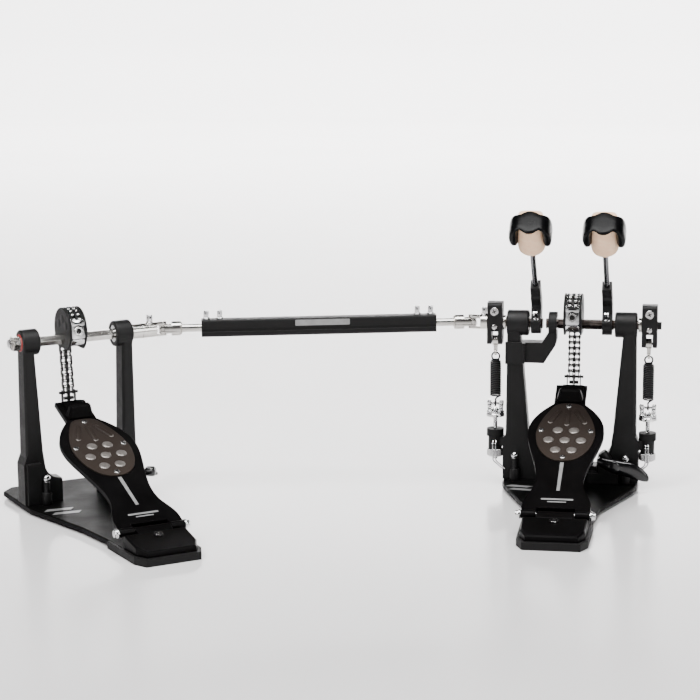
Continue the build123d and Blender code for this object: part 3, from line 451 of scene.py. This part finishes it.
def beater(hand, x, body):
    """Felt head, and the rubber saddle that wraps over its top and sides."""
    place = head_frame(x)
    bm = bmesh.new()
    levels = [(-21.0, 12.2, 12.0, 14.6), (-20.5, 13.7, 13.6, 16.1), (-19.2, 14.6, 14.6, 16.8),
              (-16, 15, 15, 17), (-4, 15, 15, 17), (2.5, 15, 15, 17), (4.2, 14.95, 14.6, 17),
              (12, 14.7, 12.6, 16.9), (18, 14.4, 11.2, 16.6), (20.2, 14.0, 10.6, 16.2),
              (21.0, 12.6, 9.6, 15.0)]
    rings = []
    for w, scale_x, round_y, flat_y in levels:
        rings.append([bm.verts.new(place @ Vector((px, py, w)))
                      for px, py in core_ring(scale_x, round_y, flat_y)])
    ring_strip(bm, rings)
    core = piece(f"{hand}_beater_felt", bm, FELT, body, angle=60)
    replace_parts(core, f"{hand}_beater_core")

    path = [(-16.2, -10.5), (-18.6, -9.4), (-21.0, -6.5), (-22.5, -1.0), (-22.9, 4.5), (-22.2, 11.5),
            (-20.2, 17.5), (-16.2, 22.0), (-10.5, 24.0), (-5.0, 24.4), (0.0, 24.5)]
    inner = [(-15.1, -9.9), (-15.2, -8.0), (-15.1, -5.0), (-15.1, 0.0), (-15.0, 5.0), (-14.9, 11.0),
             (-14.6, 17.0), (-13.6, 20.3), (-10.0, 21.0), (-5.0, 21.0), (0.0, 21.0)]
    near = [-6.0, -9.0, -11.5, -12.6, -13.2, -13.8, -14.6, -14.2, -12.4, -16.6, -18.0]
    far = [3.0, 6.0, 8.4, 9.6, 10.4, 10.6, 10.2, 8.8, 8.6, 11.6, 12.8]
    mirror_path = path + [(-a, b) for a, b in reversed(path[:-1])]
    mirror_inner = inner + [(-a, b) for a, b in reversed(inner[:-1])]
    mirror_near = near + near[-2::-1]
    mirror_far = far + far[-2::-1]
    bm = bmesh.new()
    rings = []
    for (ox, ow), (ix, iw), y0, y1 in zip(mirror_path, mirror_inner, mirror_near, mirror_far):
        out, low = Vector((ox, 0, ow)), Vector((ix, 0, iw))
        ring = []
        for share, y in ((0.0, y0 + 0.8), (0.45, y0), (0.85, y0 + 0.7), (1.0, y0 + 2.6),
                         (1.03, (y0 + y1) / 2), (1.0, y1 - 2.6), (0.85, y1 - 0.7), (0.45, y1),
                         (0.0, y1 - 0.8)):
            point = low + (out - low) * share
            ring.append(bm.verts.new(place @ Vector((point.x, y, point.z))))
        rings.append(ring)
    ring_strip(bm, rings)
    bmesh.ops.recalc_face_normals(bm, faces=bm.faces)
    bmesh.ops.subdivide_edges(bm, edges=bm.edges[:], cuts=1, smooth=0.6, use_grid_fill=True)
    band = piece(f"{hand}_beater_saddle", bm, BAND, body, angle=70)
    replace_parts(band, f"{hand}_beater_band")


for hand_name, beater_x in BEATER_X.items():
    beater(hand_name, beater_x, f"{hand_name}_beater")


# Springs

def coil_spring(hand, x):
    """Close coil with a ring above and a hook below."""
    path = []
    for k in range(26):
        turn = -math.pi / 2 + 0.35 + (2 * math.pi - 0.7) * k / 25
        path.append((x + 4.4 * math.cos(turn) * 0.985, 0, 147.0 + 4.4 * math.sin(turn)))
    path.reverse()
    turns, steps = 20, 18
    for k in range(turns * steps + 1):
        share = k / (turns * steps)
        z = 143.2 - share * (143.2 - 102.0)
        radius = 5.55 - 1.9 * max(0, 1 - share * turns / 1.3)
        turn = 2 * math.pi * k / steps
        path.append((x + radius * math.cos(turn), radius * math.sin(turn), z))
    path += [(x + 4.0, 0, 101.0), (x + 1.6, 0.2, 99.6), (x, 0, 97.6)]
    for k in range(22):
        turn = math.pi / 2 - (2 * math.pi - 0.8) * k / 21
        path.append((x, 3.4 * math.cos(turn), 93.5 + 3.4 * math.sin(turn)))
    bm = bmesh.new()
    wire(bm, path, 0.94, 8)
    coil = piece(f"{hand}_coil", bm, SPRING, None, angle=60)
    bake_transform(coil)
    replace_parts(coil, f"{hand}_spring")


for hand_name, spring_x in (("right", SPRING_X), ("left", -SPRING_X)):
    coil_spring(hand_name, spring_x)


# Tension screws

def tension_set():
    """Tension screws with their crown nuts and lock wires, and the knurled nuts below them."""
    rods, nuts = bmesh.new(), bmesh.new()
    for hand in (-1, 1):
        x = hand * SPRING_X
        thread = []
        for k in range(50):
            thread += [(2.1, 29 + k), (2.45, 29.5 + k)]
        lathe(rods, thread, Matrix.Translation((x, 0, 0)), 20)
        lathe(rods, [(8.6, 78), (10.0, 78.5), (10.2, 79.4), (10.2, 81.6), (9.6, 82.3), (10.1, 83.1),
                     (10.0, 84.6), (8.4, 85.4), (3.0, 86.4), (2.2, 88.0)],
              Matrix.Translation((x, 0, 0)), 48)
        for ear in (-1, 1):
            for z, height, depth, shift in ((86.2, 5.4, 9.4, 6.4), (90.6, 3.6, 8.2, 6.6),
                                            (94.4, 4.6, 9.0, 7.0)):
                block(rods, (4.9, depth, height), Matrix.Translation((x + ear * shift, 0, z)), 1.3)
        wire(rods, [(x - 9.3, 0, 92.5), (x + 9.3, 0, 92.5)], 1.3, 14)
        end = hand * 74.6
        for shift in (-1.5, 1.5):
            path = [(x + shift, -8.4, 51.4), (x + shift, -10.6, 49.6), (x + shift, -12, 46.5),
                    (x + shift, -12, 31.0), (x + shift - hand * 0.8, -12, 28.6),
                    (x + shift - hand * 2.4, -12, 27.0), (end + shift, -12, 20.0)]
            wire(rods, path, 0.8, 10)
        count = 56
        outline = []
        for k in range(count * 2):
            radius = 9.3 if k % 2 else 8.85
            turn = math.pi * k / count
            outline.append((radius * math.cos(turn), radius * math.sin(turn)))
        prism(nuts, outline, 33.0, 40.7, Matrix.Translation((x, 0, 0)))
        lathe(nuts, [(7.4, 32.0), (8.7, 32.7), (8.9, 33.2), (8.9, 40.5), (8.7, 41.0), (7.4, 41.7)],
              Matrix.Translation((x, 0, 0)), 48)
    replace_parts(piece("tension_screws", rods, CHROME, "main_frame"), "tension_rods")
    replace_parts(piece("knurled_nuts", nuts, CHROME, "main_frame", angle=20), "tension_nuts")


tension_set()


# Both pedals

def smooth_outline(points, steps=6):
    """Closed smooth curve through half an outline and its mirror image."""
    loop = points + [(-x, y) for x, y in reversed(points[1:-1])]
    count = len(loop)
    curve = []
    for k in range(count):
        a, b, c, d = (Vector(loop[(k + j - 1) % count]) for j in range(4))
        for step in range(steps):
            t = step / steps
            curve.append(tuple(0.5 * (2 * b + (c - a) * t + (2 * a - 5 * b + 4 * c - d) * t ** 2
                                      + (3 * b - a - 3 * c + d) * t ** 3)))
    return curve


def tread(pedal, place, body):
    """Tread plate, its silver dots, ribs with a painted silver highlight at each lower end, and screws; the
    stripe and plain bars below it.
    """
    bm = bmesh.new()
    egg = [(0, 92.5), (9.5, 94.0), (19, 101.0), (27.6, 116), (31.6, 134), (31.8, 148), (28.2, 166),
           (21.4, 184), (13.2, 198.4), (0, 201.4)]
    prism(bm, smooth_outline(egg), 2.7, 4.25, on_board(0, 0, 0), 0.45)
    plate = piece(f"{pedal}_tread", bm, BRONZE, body, place)
    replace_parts(plate, f"{pedal}_traction_plate")
    bm = bmesh.new()
    for row, count in ((148.5, 2), (130.0, 3), (111.5, 2)):
        for k in range(count):
            spot = on_board((k - (count - 1) / 2) * 17.6, row, TREAD_FACE)
            lathe(bm, [(5.75, -0.1), (5.75, 0.45), (5.3, 0.85), (4.2, 1.1), (2.6, 1.22), (0.5, 1.28)],
                  spot, 36)
    piece(f"{pedal}_tread_dots", bm, LENS, body, place)
    bm = bmesh.new()
    # Painted highlight: a silver lens at the lower end of each rib stands in for the light caught there.
    ends = bmesh.new()
    for x0, y0, x1, y1 in ((-9.5, 186, -18, 165), (0.3, 187, 0, 161), (9, 186, 19, 165)):
        run = Vector((x1 - x0, y1 - y0, 0))
        lie = Matrix.Rotation(math.atan2(run.y, run.x) + math.pi / 2, 4, "Z")
        middle = on_board((x0 + x1) / 2, (y0 + y1) / 2, TREAD_FACE) @ lie
        prism(bm, capsule(run.length + 4, 5.4), -0.1, 0.75, middle, 0.35)
        low_end = on_board(x1, y1, TREAD_FACE) @ lie
        prism(ends, capsule(5.6, 5.6), -0.1, 0.5, low_end @ Matrix.Translation((0, -0.9, 0)), 0.3)
    piece(f"{pedal}_tread_ribs", bm, BRONZE, body, place)
    piece(f"{pedal}_tread_rib_highlights", ends, LENS, body, place)
    for k, (x, y) in enumerate(((0, 195.5), (-27, 148), (27, 148), (0, 98.5))):
        screw(f"{pedal}_tread_screw_{k}", on_board(x, y, TREAD_FACE + 0.1), 3.35, 1.25, body,
              place, metal=PIN)
    bm = bmesh.new()
    stripe = [(-1.9, 39.4), (1.5, 39.4), (2.1, 90.6), (-1.9, 90.6)]
    for outline, y in ((stripe, 0), (rounded(34, 2.6, 1.2), 24.0), (rounded(20, 1.6, 0.7), 19.4)):
        prism(bm, outline, BOARD_FACE, BOARD_FACE + PRINT_THICK, on_board(0, y, 0))
    piece(f"{pedal}_board_print", bm, SILVER, body, place)


def toe(pedal, place, body):
    """Tapered hood on the toe and a short stack of chain links that rises from it to the toe pin."""
    bm = bmesh.new()
    foot = [(14.8, 203.5), (15.2, 214.5), (-15.2, 214.5), (-14.8, 203.5)]
    crown = [(11.2, 208.6), (11.2, 214.5), (-11.2, 214.5), (-11.2, 208.6)]
    rings = []
    for outline, height in ((foot, BOARD_FACE), (crown, BOARD_FACE + 14.4)):
        rings.append([bm.verts.new(on_board(x, y, height).translation) for x, y in outline])
    ring_strip(bm, rings)
    bmesh.ops.bevel(bm, geom=bm.edges[:], offset=1.3, segments=3, affect="EDGES", clamp_overlap=True)
    prism(bm, rounded(24, 24, 1.5), BOARD_FACE - 0.1, BOARD_FACE + 1.5, on_board(CHAIN_X, 227, 0), 0.3)
    hood = piece(f"{pedal}_toe_hood", bm, BOARD, body, place)
    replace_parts(hood, f"{pedal}_toe_bracket")
    low = Vector((TOE_Y - 1.2, 103.5))
    high = Vector((TOE_Y, TOE_Z))
    run = high - low
    plates, rollers = bmesh.new(), bmesh.new()
    for side in (-1, 1):
        for gap in (7.35, 0.7):
            x = CHAIN_X + side * gap
            middle = axes((x, (low.x + high.x) / 2, (low.y + high.y) / 2), (0, -run.y, run.x), (1, 0, 0))
            prism(plates, capsule(run.length + 5.6, 5.2), -0.5, 0.5, middle, 0.2)
        for k in range(3):
            y, z = low.lerp(high, k / 3)
            roll = axes((CHAIN_X + side * 3.2 - 2.0, y, z), (0, 1, 0), (1, 0, 0))
            lathe(rollers, [(1.9, 0.0), (1.9, 4.0)], roll, 14)
        lathe(plates, [(1.5, -0.6), (1.5, 0.5), (1.0, 0.8), (0.2, 0.85)],
              axes((CHAIN_X + side * 7.7, TOE_Y, TOE_Z), (0, 1, 0), (side, 0, 0)), 14)
    piece(f"{pedal}_toe_links", plates, CHAIN, body, place)
    piece(f"{pedal}_toe_rollers", rollers, CHAIN, body, place)


def cam_details(pedal, place, body):
    """Chrome anchor plate, its screw and the clamp bars on the chain wheel, and its holes' rims."""
    seat = on_cam(PLATE_ANGLE, PLATE_SEAT)
    lip = Matrix.Translation((0, 6.9, 0))
    bm = bmesh.new()
    prism(bm, rounded(15.0, 20.4, 1.8), -0.1, 3.2, seat, 0.5)
    prism(bm, rounded(15.2, 6.4, 1.4), 0.0, 4.0, seat @ lip, 0.9)
    prism(bm, rounded(15.0, 7.0, 1.6), -0.1, 4.6, on_cam(209, 19.0), 0.9)
    piece(f"{pedal}_anchor_plate", bm, CHROME, body, place)
    head = on_cam(PLATE_ANGLE, PLATE_FACE) @ Matrix.Translation((0, -2.0, 0))
    bm = bmesh.new()
    lathe(bm, [(5.1, 0), (5.1, 1.7), (4.7, 2.1), (3.0, 2.1), (2.9, 0.9), (0.3, 0.9)], head, 36)
    piece(f"{pedal}_anchor_screw", bm, PIN, body, place)
    # Painted shade: a dark hex socket and slot stand in for the shade inside the anchor screw's recesses.
    bm = bmesh.new()
    lathe(bm, [(2.85, 0.0), (2.85, 1.15), (0.3, 1.15)], head, 6)
    block(bm, (9.0, 1.6, 0.9), on_cam(PLATE_ANGLE, PLATE_FACE + 0.7) @ lip, 0.1)
    piece(f"{pedal}_anchor_recess", bm, PAINTED_SHADE, body, place)
    bm = bmesh.new()
    for angle in CAM_HOLE_ANGLES:
        turn = math.radians(angle)
        for x in CAM_FACES:
            hole = axes((x, CAM_Y + CAM_HOLE_RING * math.cos(turn), CAM_Z + CAM_HOLE_RING * math.sin(turn)),
                        (0, 1, 0), (1, 0, 0))
            lathe(bm, [(4.25, -0.35), (4.8, -0.2), (4.8, 0.2), (4.25, 0.35)], hole, 32)
    piece(f"{pedal}_cam_rims", bm, CAST, body, place)


def chain_pins(pedal, place):
    """Bright pin heads on both faces of the chain and bright rollers between its plates."""
    reach = math.hypot(TOE_Y - CAM_Y, TOE_Z - CAM_Z)
    leave = math.degrees(math.atan2(TOE_Z - CAM_Z, TOE_Y - CAM_Y) + math.acos(CAM_R / reach))
    step = math.degrees(2 * math.asin(CHAIN_PITCH / 2 / CAM_R))

    def cam_pin(k):
        """Place of the pin that is k pitches up the cam from where the chain leaves it."""
        turn = math.radians(leave + k * step)
        return CAM_Y + CAM_R * math.cos(turn), CAM_Z + CAM_R * math.sin(turn)

    y0, z0 = cam_pin(0)
    shares = [k / SPAN_PITCHES for k in range(SPAN_PITCHES)]
    span = [(y0 + (TOE_Y - y0) * share, z0 + (TOE_Z - z0) * share) for share in shares]
    runs = (("shaft_set", [cam_pin(k) for k in range(LAST_CAM_PIN, 3, -1)]),
            ("chain_first", [cam_pin(k) for k in (3, 2)]),
            ("chain_second", [cam_pin(1)]), ("chain_third", span))
    for part, pins in runs:
        bm = bmesh.new()
        for y, z in pins:
            for side in (-1, 1):
                head = axes((CHAIN_X + side * 6.45, y, z), (0, 1, 0), (side, 0, 0))
                lathe(bm, [(1.25, 0), (1.25, 0.6), (0.9, 0.85), (0.2, 0.9)], head, 14)
                roll = axes((CHAIN_X + side * 3.2 - 1.45, y, z), (0, 1, 0), (1, 0, 0))
                lathe(bm, [(1.72, 0.0), (1.72, 2.9)], roll, 14)
        piece(f"{pedal}_{part}_pins", bm, PIN, f"{pedal}_{part}", place)


def heel_details(pedal, place, body):
    """Recessed heel screw, and domed ends of the hinge pin."""
    bm = bmesh.new()
    seat = axes(HEEL_SCREW, (1, 0, 0), (0, -HEEL_SLOPE, 1))
    lathe(bm, [(5.6, -0.1), (5.6, 0.5), (5.0, 0.9), (4.2, 0.3), (3.6, 1.9), (2.2, 2.1), (2.0, 1.2),
               (0.2, 1.2)], seat, 36)
    piece(f"{pedal}_heel_screw", bm, BOARD, body, place)
    for side in (-1, 1):
        face = axes((side * 38.5, HINGE_Y, HINGE_Z), (0, 1, 0), (side, 0, 0))
        bm = bmesh.new()
        lathe(bm, [(4.9, -2.2), (5.0, -1.8), (5.0, -0.4), (4.7, 0.0), (4.1, 0.1), (4.0, 1.6),
                   (3.2, 2.7), (1.8, 3.15), (0.2, 3.25)], face, 32)
        piece(f"{pedal}_hinge_nut_{'left' if side < 0 else 'right'}", bm, CHROME, body, place)


def spike_sleeves(pedal, place, body, spots):
    """Black boss and coarse dark thread round each floor spike, below its bright ball."""
    bm = bmesh.new()
    for x, y in spots:
        lathe(bm, [(5.2, BASE_TOP), (5.4, BASE_TOP + 0.6), (5.4, 20.6), (4.8, 21.6), (2.6, 21.6)],
              Matrix.Translation((x, y, 0)), 32)
        thread = []
        for k in range(8):
            thread += [(3.05, 21.4 + 1.6 * k), (3.75, 22.2 + 1.6 * k)]
        lathe(bm, thread, Matrix.Translation((x, y, 0)), 24)
    piece(f"{pedal}_spike_sleeves", bm, CAST, body, place)


for pedal_name, pedal_place in (("main", MAIN), ("slave", SLAVE)):
    tread(pedal_name, pedal_place, f"{pedal_name}_board")
    toe(pedal_name, pedal_place, f"{pedal_name}_board")
    cam_details(pedal_name, pedal_place, f"{pedal_name}_shaft_set")
    chain_pins(pedal_name, pedal_place)
    heel_details(pedal_name, pedal_place, f"{pedal_name}_frame")


for pedal_name, pedal_place in (("main", MAIN), ("slave", SLAVE)):
    spike_sleeves(pedal_name, pedal_place, f"{pedal_name}_frame", SPIKES[pedal_name])


# Rockers, holders and key bolts

def rocker_details(label, hand, body):
    """Screw, studs and collar of a rocker, on the side towards the player."""
    middle = hand * ROCKER_X
    screw(f"{label}_rocker_screw", axes((middle, -12.7, SHAFT_Z + 14), (1, 0, 0), PLAYER), 4.6, 0.5,
          body, metal=PIN)
    bm = bmesh.new()
    lathe(bm, [(4.75, -2.3), (4.75, 0.0), (4.3, 0.35)],
          axes((middle, -12.8, SHAFT_Z + 14), (1, 0, 0), PLAYER), 36)
    lathe(bm, [(3.1, -0.4), (3.1, 1.2), (2.4, 1.75), (0.3, 1.9)],
          axes((middle, -10.6, SHAFT_Z - 4), (1, 0, 0), PLAYER), 28)
    piece(f"{label}_rocker_studs", bm, PIN, body)
    bm = bmesh.new()
    lathe(bm, [(8.05, -1.6), (8.1, -1.4), (8.1, 1.4), (8.05, 1.6)],
          axes((hand * 75.5, 0, SHAFT_Z), (0, 1, 0), (1, 0, 0)), 40)
    piece(f"{label}_collar", bm, NICKEL, body)


SHAFT_SETS = {"right": "main_shaft_set", "left": "left_shaft_set"}
for hand_name, hand_sign in (("right", 1), ("left", -1)):
    rocker_details(hand_name, hand_sign, SHAFT_SETS[hand_name])

for hand_name, beater_x in BEATER_X.items():
    up_rod = leaning(0, 0, 1) - leaning(0, 0, 0)
    key_bolt(f"{hand_name}_holder_bolt", axes(leaning(beater_x, -3.0, 12.2), (1, 0, 0), up_rod),
             12.2, SHAFT_SETS[hand_name])

for k, along in enumerate(TUBE_BOLTS):
    along_tube = (math.cos(DRIVE_TURN), math.sin(DRIVE_TURN), 0)
    key_bolt(f"tube_bolt_{k}", axes(drive(0, 9.5, along), along_tube, (0, 0, 1)), 9.7, "drive_tube_set")
key_bolt("main_yoke_bolt", axes((-98.6, 0, SHAFT_Z + 7.4), (1, 0, 0), (0, 0, 1)), 9.6, "left_shaft_set")
key_bolt("slave_yoke_bolt", axes((93.8, 0, SHAFT_Z + 7.4), (1, 0, 0), (0, 0, 1)), 9.6,
         "slave_shaft_set", SLAVE)


# Drive shaft

def drive_details():
    """Blank label and washers on the drive shaft, and the fittings of the slave's shaft."""
    along_dir = (math.cos(DRIVE_TURN), math.sin(DRIVE_TURN), 0)
    out = (math.sin(DRIVE_TURN), -math.cos(DRIVE_TURN), 0)
    bm = bmesh.new()
    prism(bm, rounded(61, 6.6, 1.0), 0.0, 0.18, axes(drive(-8.0, 4.6, 177.5), along_dir, out))
    piece("tube_label", bm, SILVER, "drive_tube_set")
    washer = 20.6
    for label, along, body in (("right", DRIVE_LENGTH - washer, "drive_tube_set"),
                               ("left", washer, "drive_rod_set")):
        place = axes(drive(0, 0, along), (0, 0, 1), along_dir)
        bm = bmesh.new()
        lathe(bm, [(4.4, -0.9), (6.6, -0.6), (6.9, 0.0), (6.6, 0.6), (4.4, 0.9)], place, 36)
        piece(f"{label}_yoke_washer", bm, NICKEL, body)
    bm = bmesh.new()
    for x in (72.4, 84.5):
        lathe(bm, [(8.05, -1.1), (8.35, -0.8), (8.35, 0.8), (8.05, 1.1)],
              axes((x, 0, SHAFT_Z), (0, 1, 0), (1, 0, 0)), 44)
    piece("slave_coupling_rings", bm, NICKEL, "slave_shaft_set", SLAVE)
    bm = bmesh.new()
    lathe(bm, [(6.6, -0.4), (8.9, -0.4), (9.3, 0.2), (8.9, 0.7), (6.6, 0.7)],
          axes((-58.2, 0, SHAFT_Z), (0, 1, 0), (-1, 0, 0)), 40)
    piece("slave_seal", bm, SEAL, "slave_frame", SLAVE)
    bm = bmesh.new()
    lathe(bm, [(5.0, -0.1), (5.0, 1.6), (4.2, 2.2), (0.2, 2.4)],
          axes((-69.0, 0, SHAFT_Z), (0, 1, 0), (-1, 0, 0)), 6)
    piece("slave_end_screw", bm, CHROME, "slave_shaft_set", SLAVE)


drive_details()


# Hoop clamp's wing

def wing():
    """Moulded wing of the clamp screw: a drooping long blade, a short one and a round hub."""
    centre = Matrix.Translation(CLAMP_SCREW)
    stations = [(-18.5, 5.0, 3.0, 2.6), (-16.5, 5.0, 4.8, 3.4), (-11, 3.2, 6.2, 4.2), (-5, 1.2, 7.4, 5.0),
                (3, -0.6, 8.2, 5.2), (10, -2.0, 8.2, 4.7), (18, -3.4, 8.8, 4.1), (26, -6.2, 8.6, 3.8),
                (33, -9.4, 6.8, 3.4), (37.2, -11.6, 4.6, 3.0), (38.8, -12.6, 1.8, 2.0)]
    bm = bmesh.new()
    rings = []
    for x, z, tall, deep in stations:
        ring = []
        for k in range(20):
            turn = 2 * math.pi * k / 20
            c, s = math.cos(turn), math.sin(turn)
            y = -4.6 + deep * math.copysign(abs(c) ** 0.8, c) * 0.95
            ring.append(bm.verts.new(centre @ Vector((x, y, z + tall * math.copysign(abs(s) ** 0.9, s)))))
        rings.append(ring)
    ring_strip(bm, rings)
    piece("clamp_wing", bm, WING, "hoop_lever", angle=60)
    bm = bmesh.new()
    hub = axes(CLAMP_SCREW, (1, 0, 0), PLAYER)
    lathe(bm, [(5.8, 0.0), (7.0, 0.4), (7.2, 2.0), (7.0, 8.4), (6.2, 9.6), (4.4, 10.0), (0.3, 10.0)], hub, 36)
    lathe(bm, [(3.35, -8.3), (3.35, 0.1)], hub, 24)
    main_hub = piece("clamp_hub", bm, WING, "hoop_lever", angle=50)
    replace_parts(main_hub, "hoop_clamp_lever")
    bm = bmesh.new()
    lathe(bm, [(4.2, -1.5), (4.6, -1.0), (4.6, 1.0), (4.2, 1.5)],
          axes(Vector(CLAMP_SCREW) + Vector((0, 1.3, 0)), (1, 0, 0), PLAYER), 32)
    piece("clamp_washer", bm, CHROME, "main_frame")
    bm = bmesh.new()
    knob = axes((42.5, -15.5, 34.0), (1, 0, 0), (-0.55, -0.1, 0.83))
    lathe(bm, [(5.2, 0.0), (5.6, 0.6), (5.6, 11.0), (5.0, 12.0), (0.3, 12.4)], knob, 32)
    piece("clamp_barrel", bm, CAST, "main_frame", angle=40)


wing()


# Base plates' print and the slave's knob

def plate_print(pedal, place, points):
    """Plain slanted bars on a base plate."""
    bm = bmesh.new()
    for x, y, length, width in points:
        lie = Matrix.Translation((x, y, BASE_TOP)) @ Matrix.Rotation(math.radians(-8), 4, "Z")
        prism(bm, [(-length / 2, -width / 2), (length / 2 - 5, -width / 2), (length / 2, width / 2),
                   (-length / 2 + 5, width / 2)], 0.0, 0.14, lie)
    piece(f"{pedal}_plate_print", bm, SILVER, f"{pedal}_frame", place)


def slave_knob():
    """Small winged knob on a stem beside the slave's right upright."""
    stem = axes((66.0, -6.0, 30.0), (0, 0, 1), (0.67, -0.74, 0.06))
    bm = bmesh.new()
    lathe(bm, [(2.6, -3.0), (2.6, 17.5), (5.2, 18.0), (5.8, 19.2), (5.6, 26.4), (4.6, 27.6), (0.3, 28.0)],
          stem, 32)
    for turn in (1.1, 1.1 + math.pi):
        lie = stem @ Matrix.Rotation(turn, 4, "Z") @ Matrix.Translation((7.8, 0, 23.6))
        block(bm, (8.6, 4.2, 6.4), lie, 1.7)
    piece("slave_knob", bm, WING, "slave_frame", SLAVE, angle=50)


slave_knob()


plate_print("main", MAIN, ((-54, -42, 30, 7), (-50, -56, 30, 7)))
plate_print("slave", SLAVE, ((-36, -44, 34, 8), (-33, -60, 34, 8)))


# CAD nodes keep their meshes and take these finishes

FINISH = {
    CAST: ("main_left_upright", "main_right_upright", "inner_bearing_bracket", "right_beater_holder",
           "left_beater_holder", "right_rocker", "left_rocker", "hoop_clamp_base", "hoop_clamp_jaw",
           "hoop_clamp_lever", "slave_uprights", "main_cam", "slave_cam", "drive_tube"),
    BOARD: ("main_footboard", "slave_footboard", "main_heel_block", "slave_heel_block",
            "main_toe_bracket", "slave_toe_bracket"),
    PLATE: ("main_base_plate", "slave_base_plate"),
    RUBBER: ("main_rubber_pad", "slave_rubber_pad", "tension_sleeves"),
    BAND: ("right_beater_band", "left_beater_band"),
    FELT: ("right_beater_core", "left_beater_core"),
    NICKEL: ("slave_shaft", "slave_side_yoke", "main_side_yoke", "left_cross", "right_cross",
             "main_bearings", "right_spring_link", "left_spring_link", "left_drive_rod",
             "right_drive_rod"),
    CHROME: ("main_fasteners", "slave_fasteners", "tension_rods", "tension_nuts", "tube_key_bolts"),
    STEEL: ("main_shaft", "left_shaft"),
    ROD: ("right_beater_rod", "left_beater_rod"),
    SPRING: ("right_spring", "left_spring"),
    CHAIN: tuple(f"{a}_chain_{b}" for a in ("main", "slave") for b in ("on_cam", "upper", "lower", "span")),
    BRONZE: ("main_traction_plate", "slave_traction_plate"),
}
for finish, names in FINISH.items():
    for node_name in names:
        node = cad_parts[node_name]
        node.data.materials.clear()
        node.data.materials.append(finish)


# Floor, light and camera

def backdrop():
    """Pale floor that curves up into a wall far behind the pedal."""
    floor_mat = surface("floor", (0.80, 0.785, 0.785), (0.83, 0.815, 0.815), 0.0, (0.16, 0.24), 1.2,
                        bump=0.0, bump_grain=40, coat=0.25, edge=0.0001)
    bm = bmesh.new()
    rows = []
    foot, curve, half_width, steps = 4300, 900, 9000, 12
    section = [(-half_width, 0), (foot, 0)]
    for k in range(1, steps + 1):
        turn = k / steps * math.pi / 2
        section.append((foot + curve * math.sin(turn), curve - curve * math.cos(turn)))
    section.append((foot + curve, 1900))
    for y, z in section:
        rows.append([bm.verts.new((x, y, z - 0.2)) for x in (-half_width, half_width)])
    for low, high in zip(rows, rows[1:]):
        bm.faces.new((low[0], low[1], high[1], high[0]))
    mesh = bpy.data.meshes.new("floor")
    bm.to_mesh(mesh)
    bm.free()
    mesh.transform(TO_METRES)
    mesh.materials.append(floor_mat)
    mesh.shade_smooth()
    floor = bpy.data.objects.new("floor", mesh)
    bpy.context.scene.collection.objects.link(floor)


def area(name, place, aim, size, power):
    """Rectangular soft light that faces a point; lengths in metres."""
    lamp = bpy.data.lights.new(name, "AREA")
    lamp.shape = "RECTANGLE"
    lamp.size, lamp.size_y = size
    lamp.energy = power
    obj = bpy.data.objects.new(name, lamp)
    obj.location = place
    obj.rotation_euler = (Vector(aim) - Vector(place)).to_track_quat("-Z", "Y").to_euler()
    bpy.context.scene.collection.objects.link(obj)


def lights():
    """Three soft lights round the pedal, and one that brightens the wall."""
    area("key", (-1.5, -1.9, 2.2), (-0.2, -0.1, 0.1), (1.3, 1.0), 80)
    area("fill", (2.0, -1.7, 1.3), (-0.1, -0.1, 0.15), (0.8, 1.4), 32)
    area("top", (-0.2, -0.6, 2.6), (-0.2, 0, 0), (2.2, 0.9), 112)
    area("back", (-0.2, 3.0, 2.4), (-0.2, 5.0, 0.3), (8.0, 0.8), 950)


def sky():
    """Surroundings that are pale at the horizon and dark overhead, so that black faces stay black."""
    world = bpy.data.worlds.new("world")
    world.use_nodes = True
    nodes, links = world.node_tree.nodes, world.node_tree.links
    nodes["Background"].inputs["Color"].default_value = (1.0, 0.995, 0.99, 1)
    coord = nodes.new("ShaderNodeTexCoord")
    split = nodes.new("ShaderNodeSeparateXYZ")
    links.new(coord.outputs["Generated"], split.inputs["Vector"])
    height = nodes.new("ShaderNodeMapRange")
    height.inputs["From Min"].default_value = 0.04
    height.inputs["From Max"].default_value = 0.25
    height.inputs["To Min"].default_value = 0.8
    height.inputs["To Max"].default_value = 0.05
    links.new(split.outputs["Z"], height.inputs["Value"])
    links.new(height.outputs["Result"], nodes["Background"].inputs["Strength"])
    bpy.context.scene.world = world


def camera():
    """Camera in front of the pedals, a little to the right and above."""
    data = bpy.data.cameras.new("camera")
    data.sensor_width = 36.0
    data.lens = 117.86
    data.clip_start, data.clip_end = 0.05, 50.0
    obj = bpy.data.objects.new("camera", data)
    turn = Matrix.Rotation(math.radians(9.75), 4, "Z") @ Matrix.Rotation(math.radians(78.92), 4, "X") \
        @ Matrix.Rotation(math.radians(-0.45), 4, "Z")
    obj.matrix_world = Matrix.Translation((0.1813, -2.5208, 0.6506)) @ turn
    bpy.context.scene.collection.objects.link(obj)
    bpy.context.scene.camera = obj


backdrop()
lights()
sky()
camera()
bpy.context.view_layer.update()
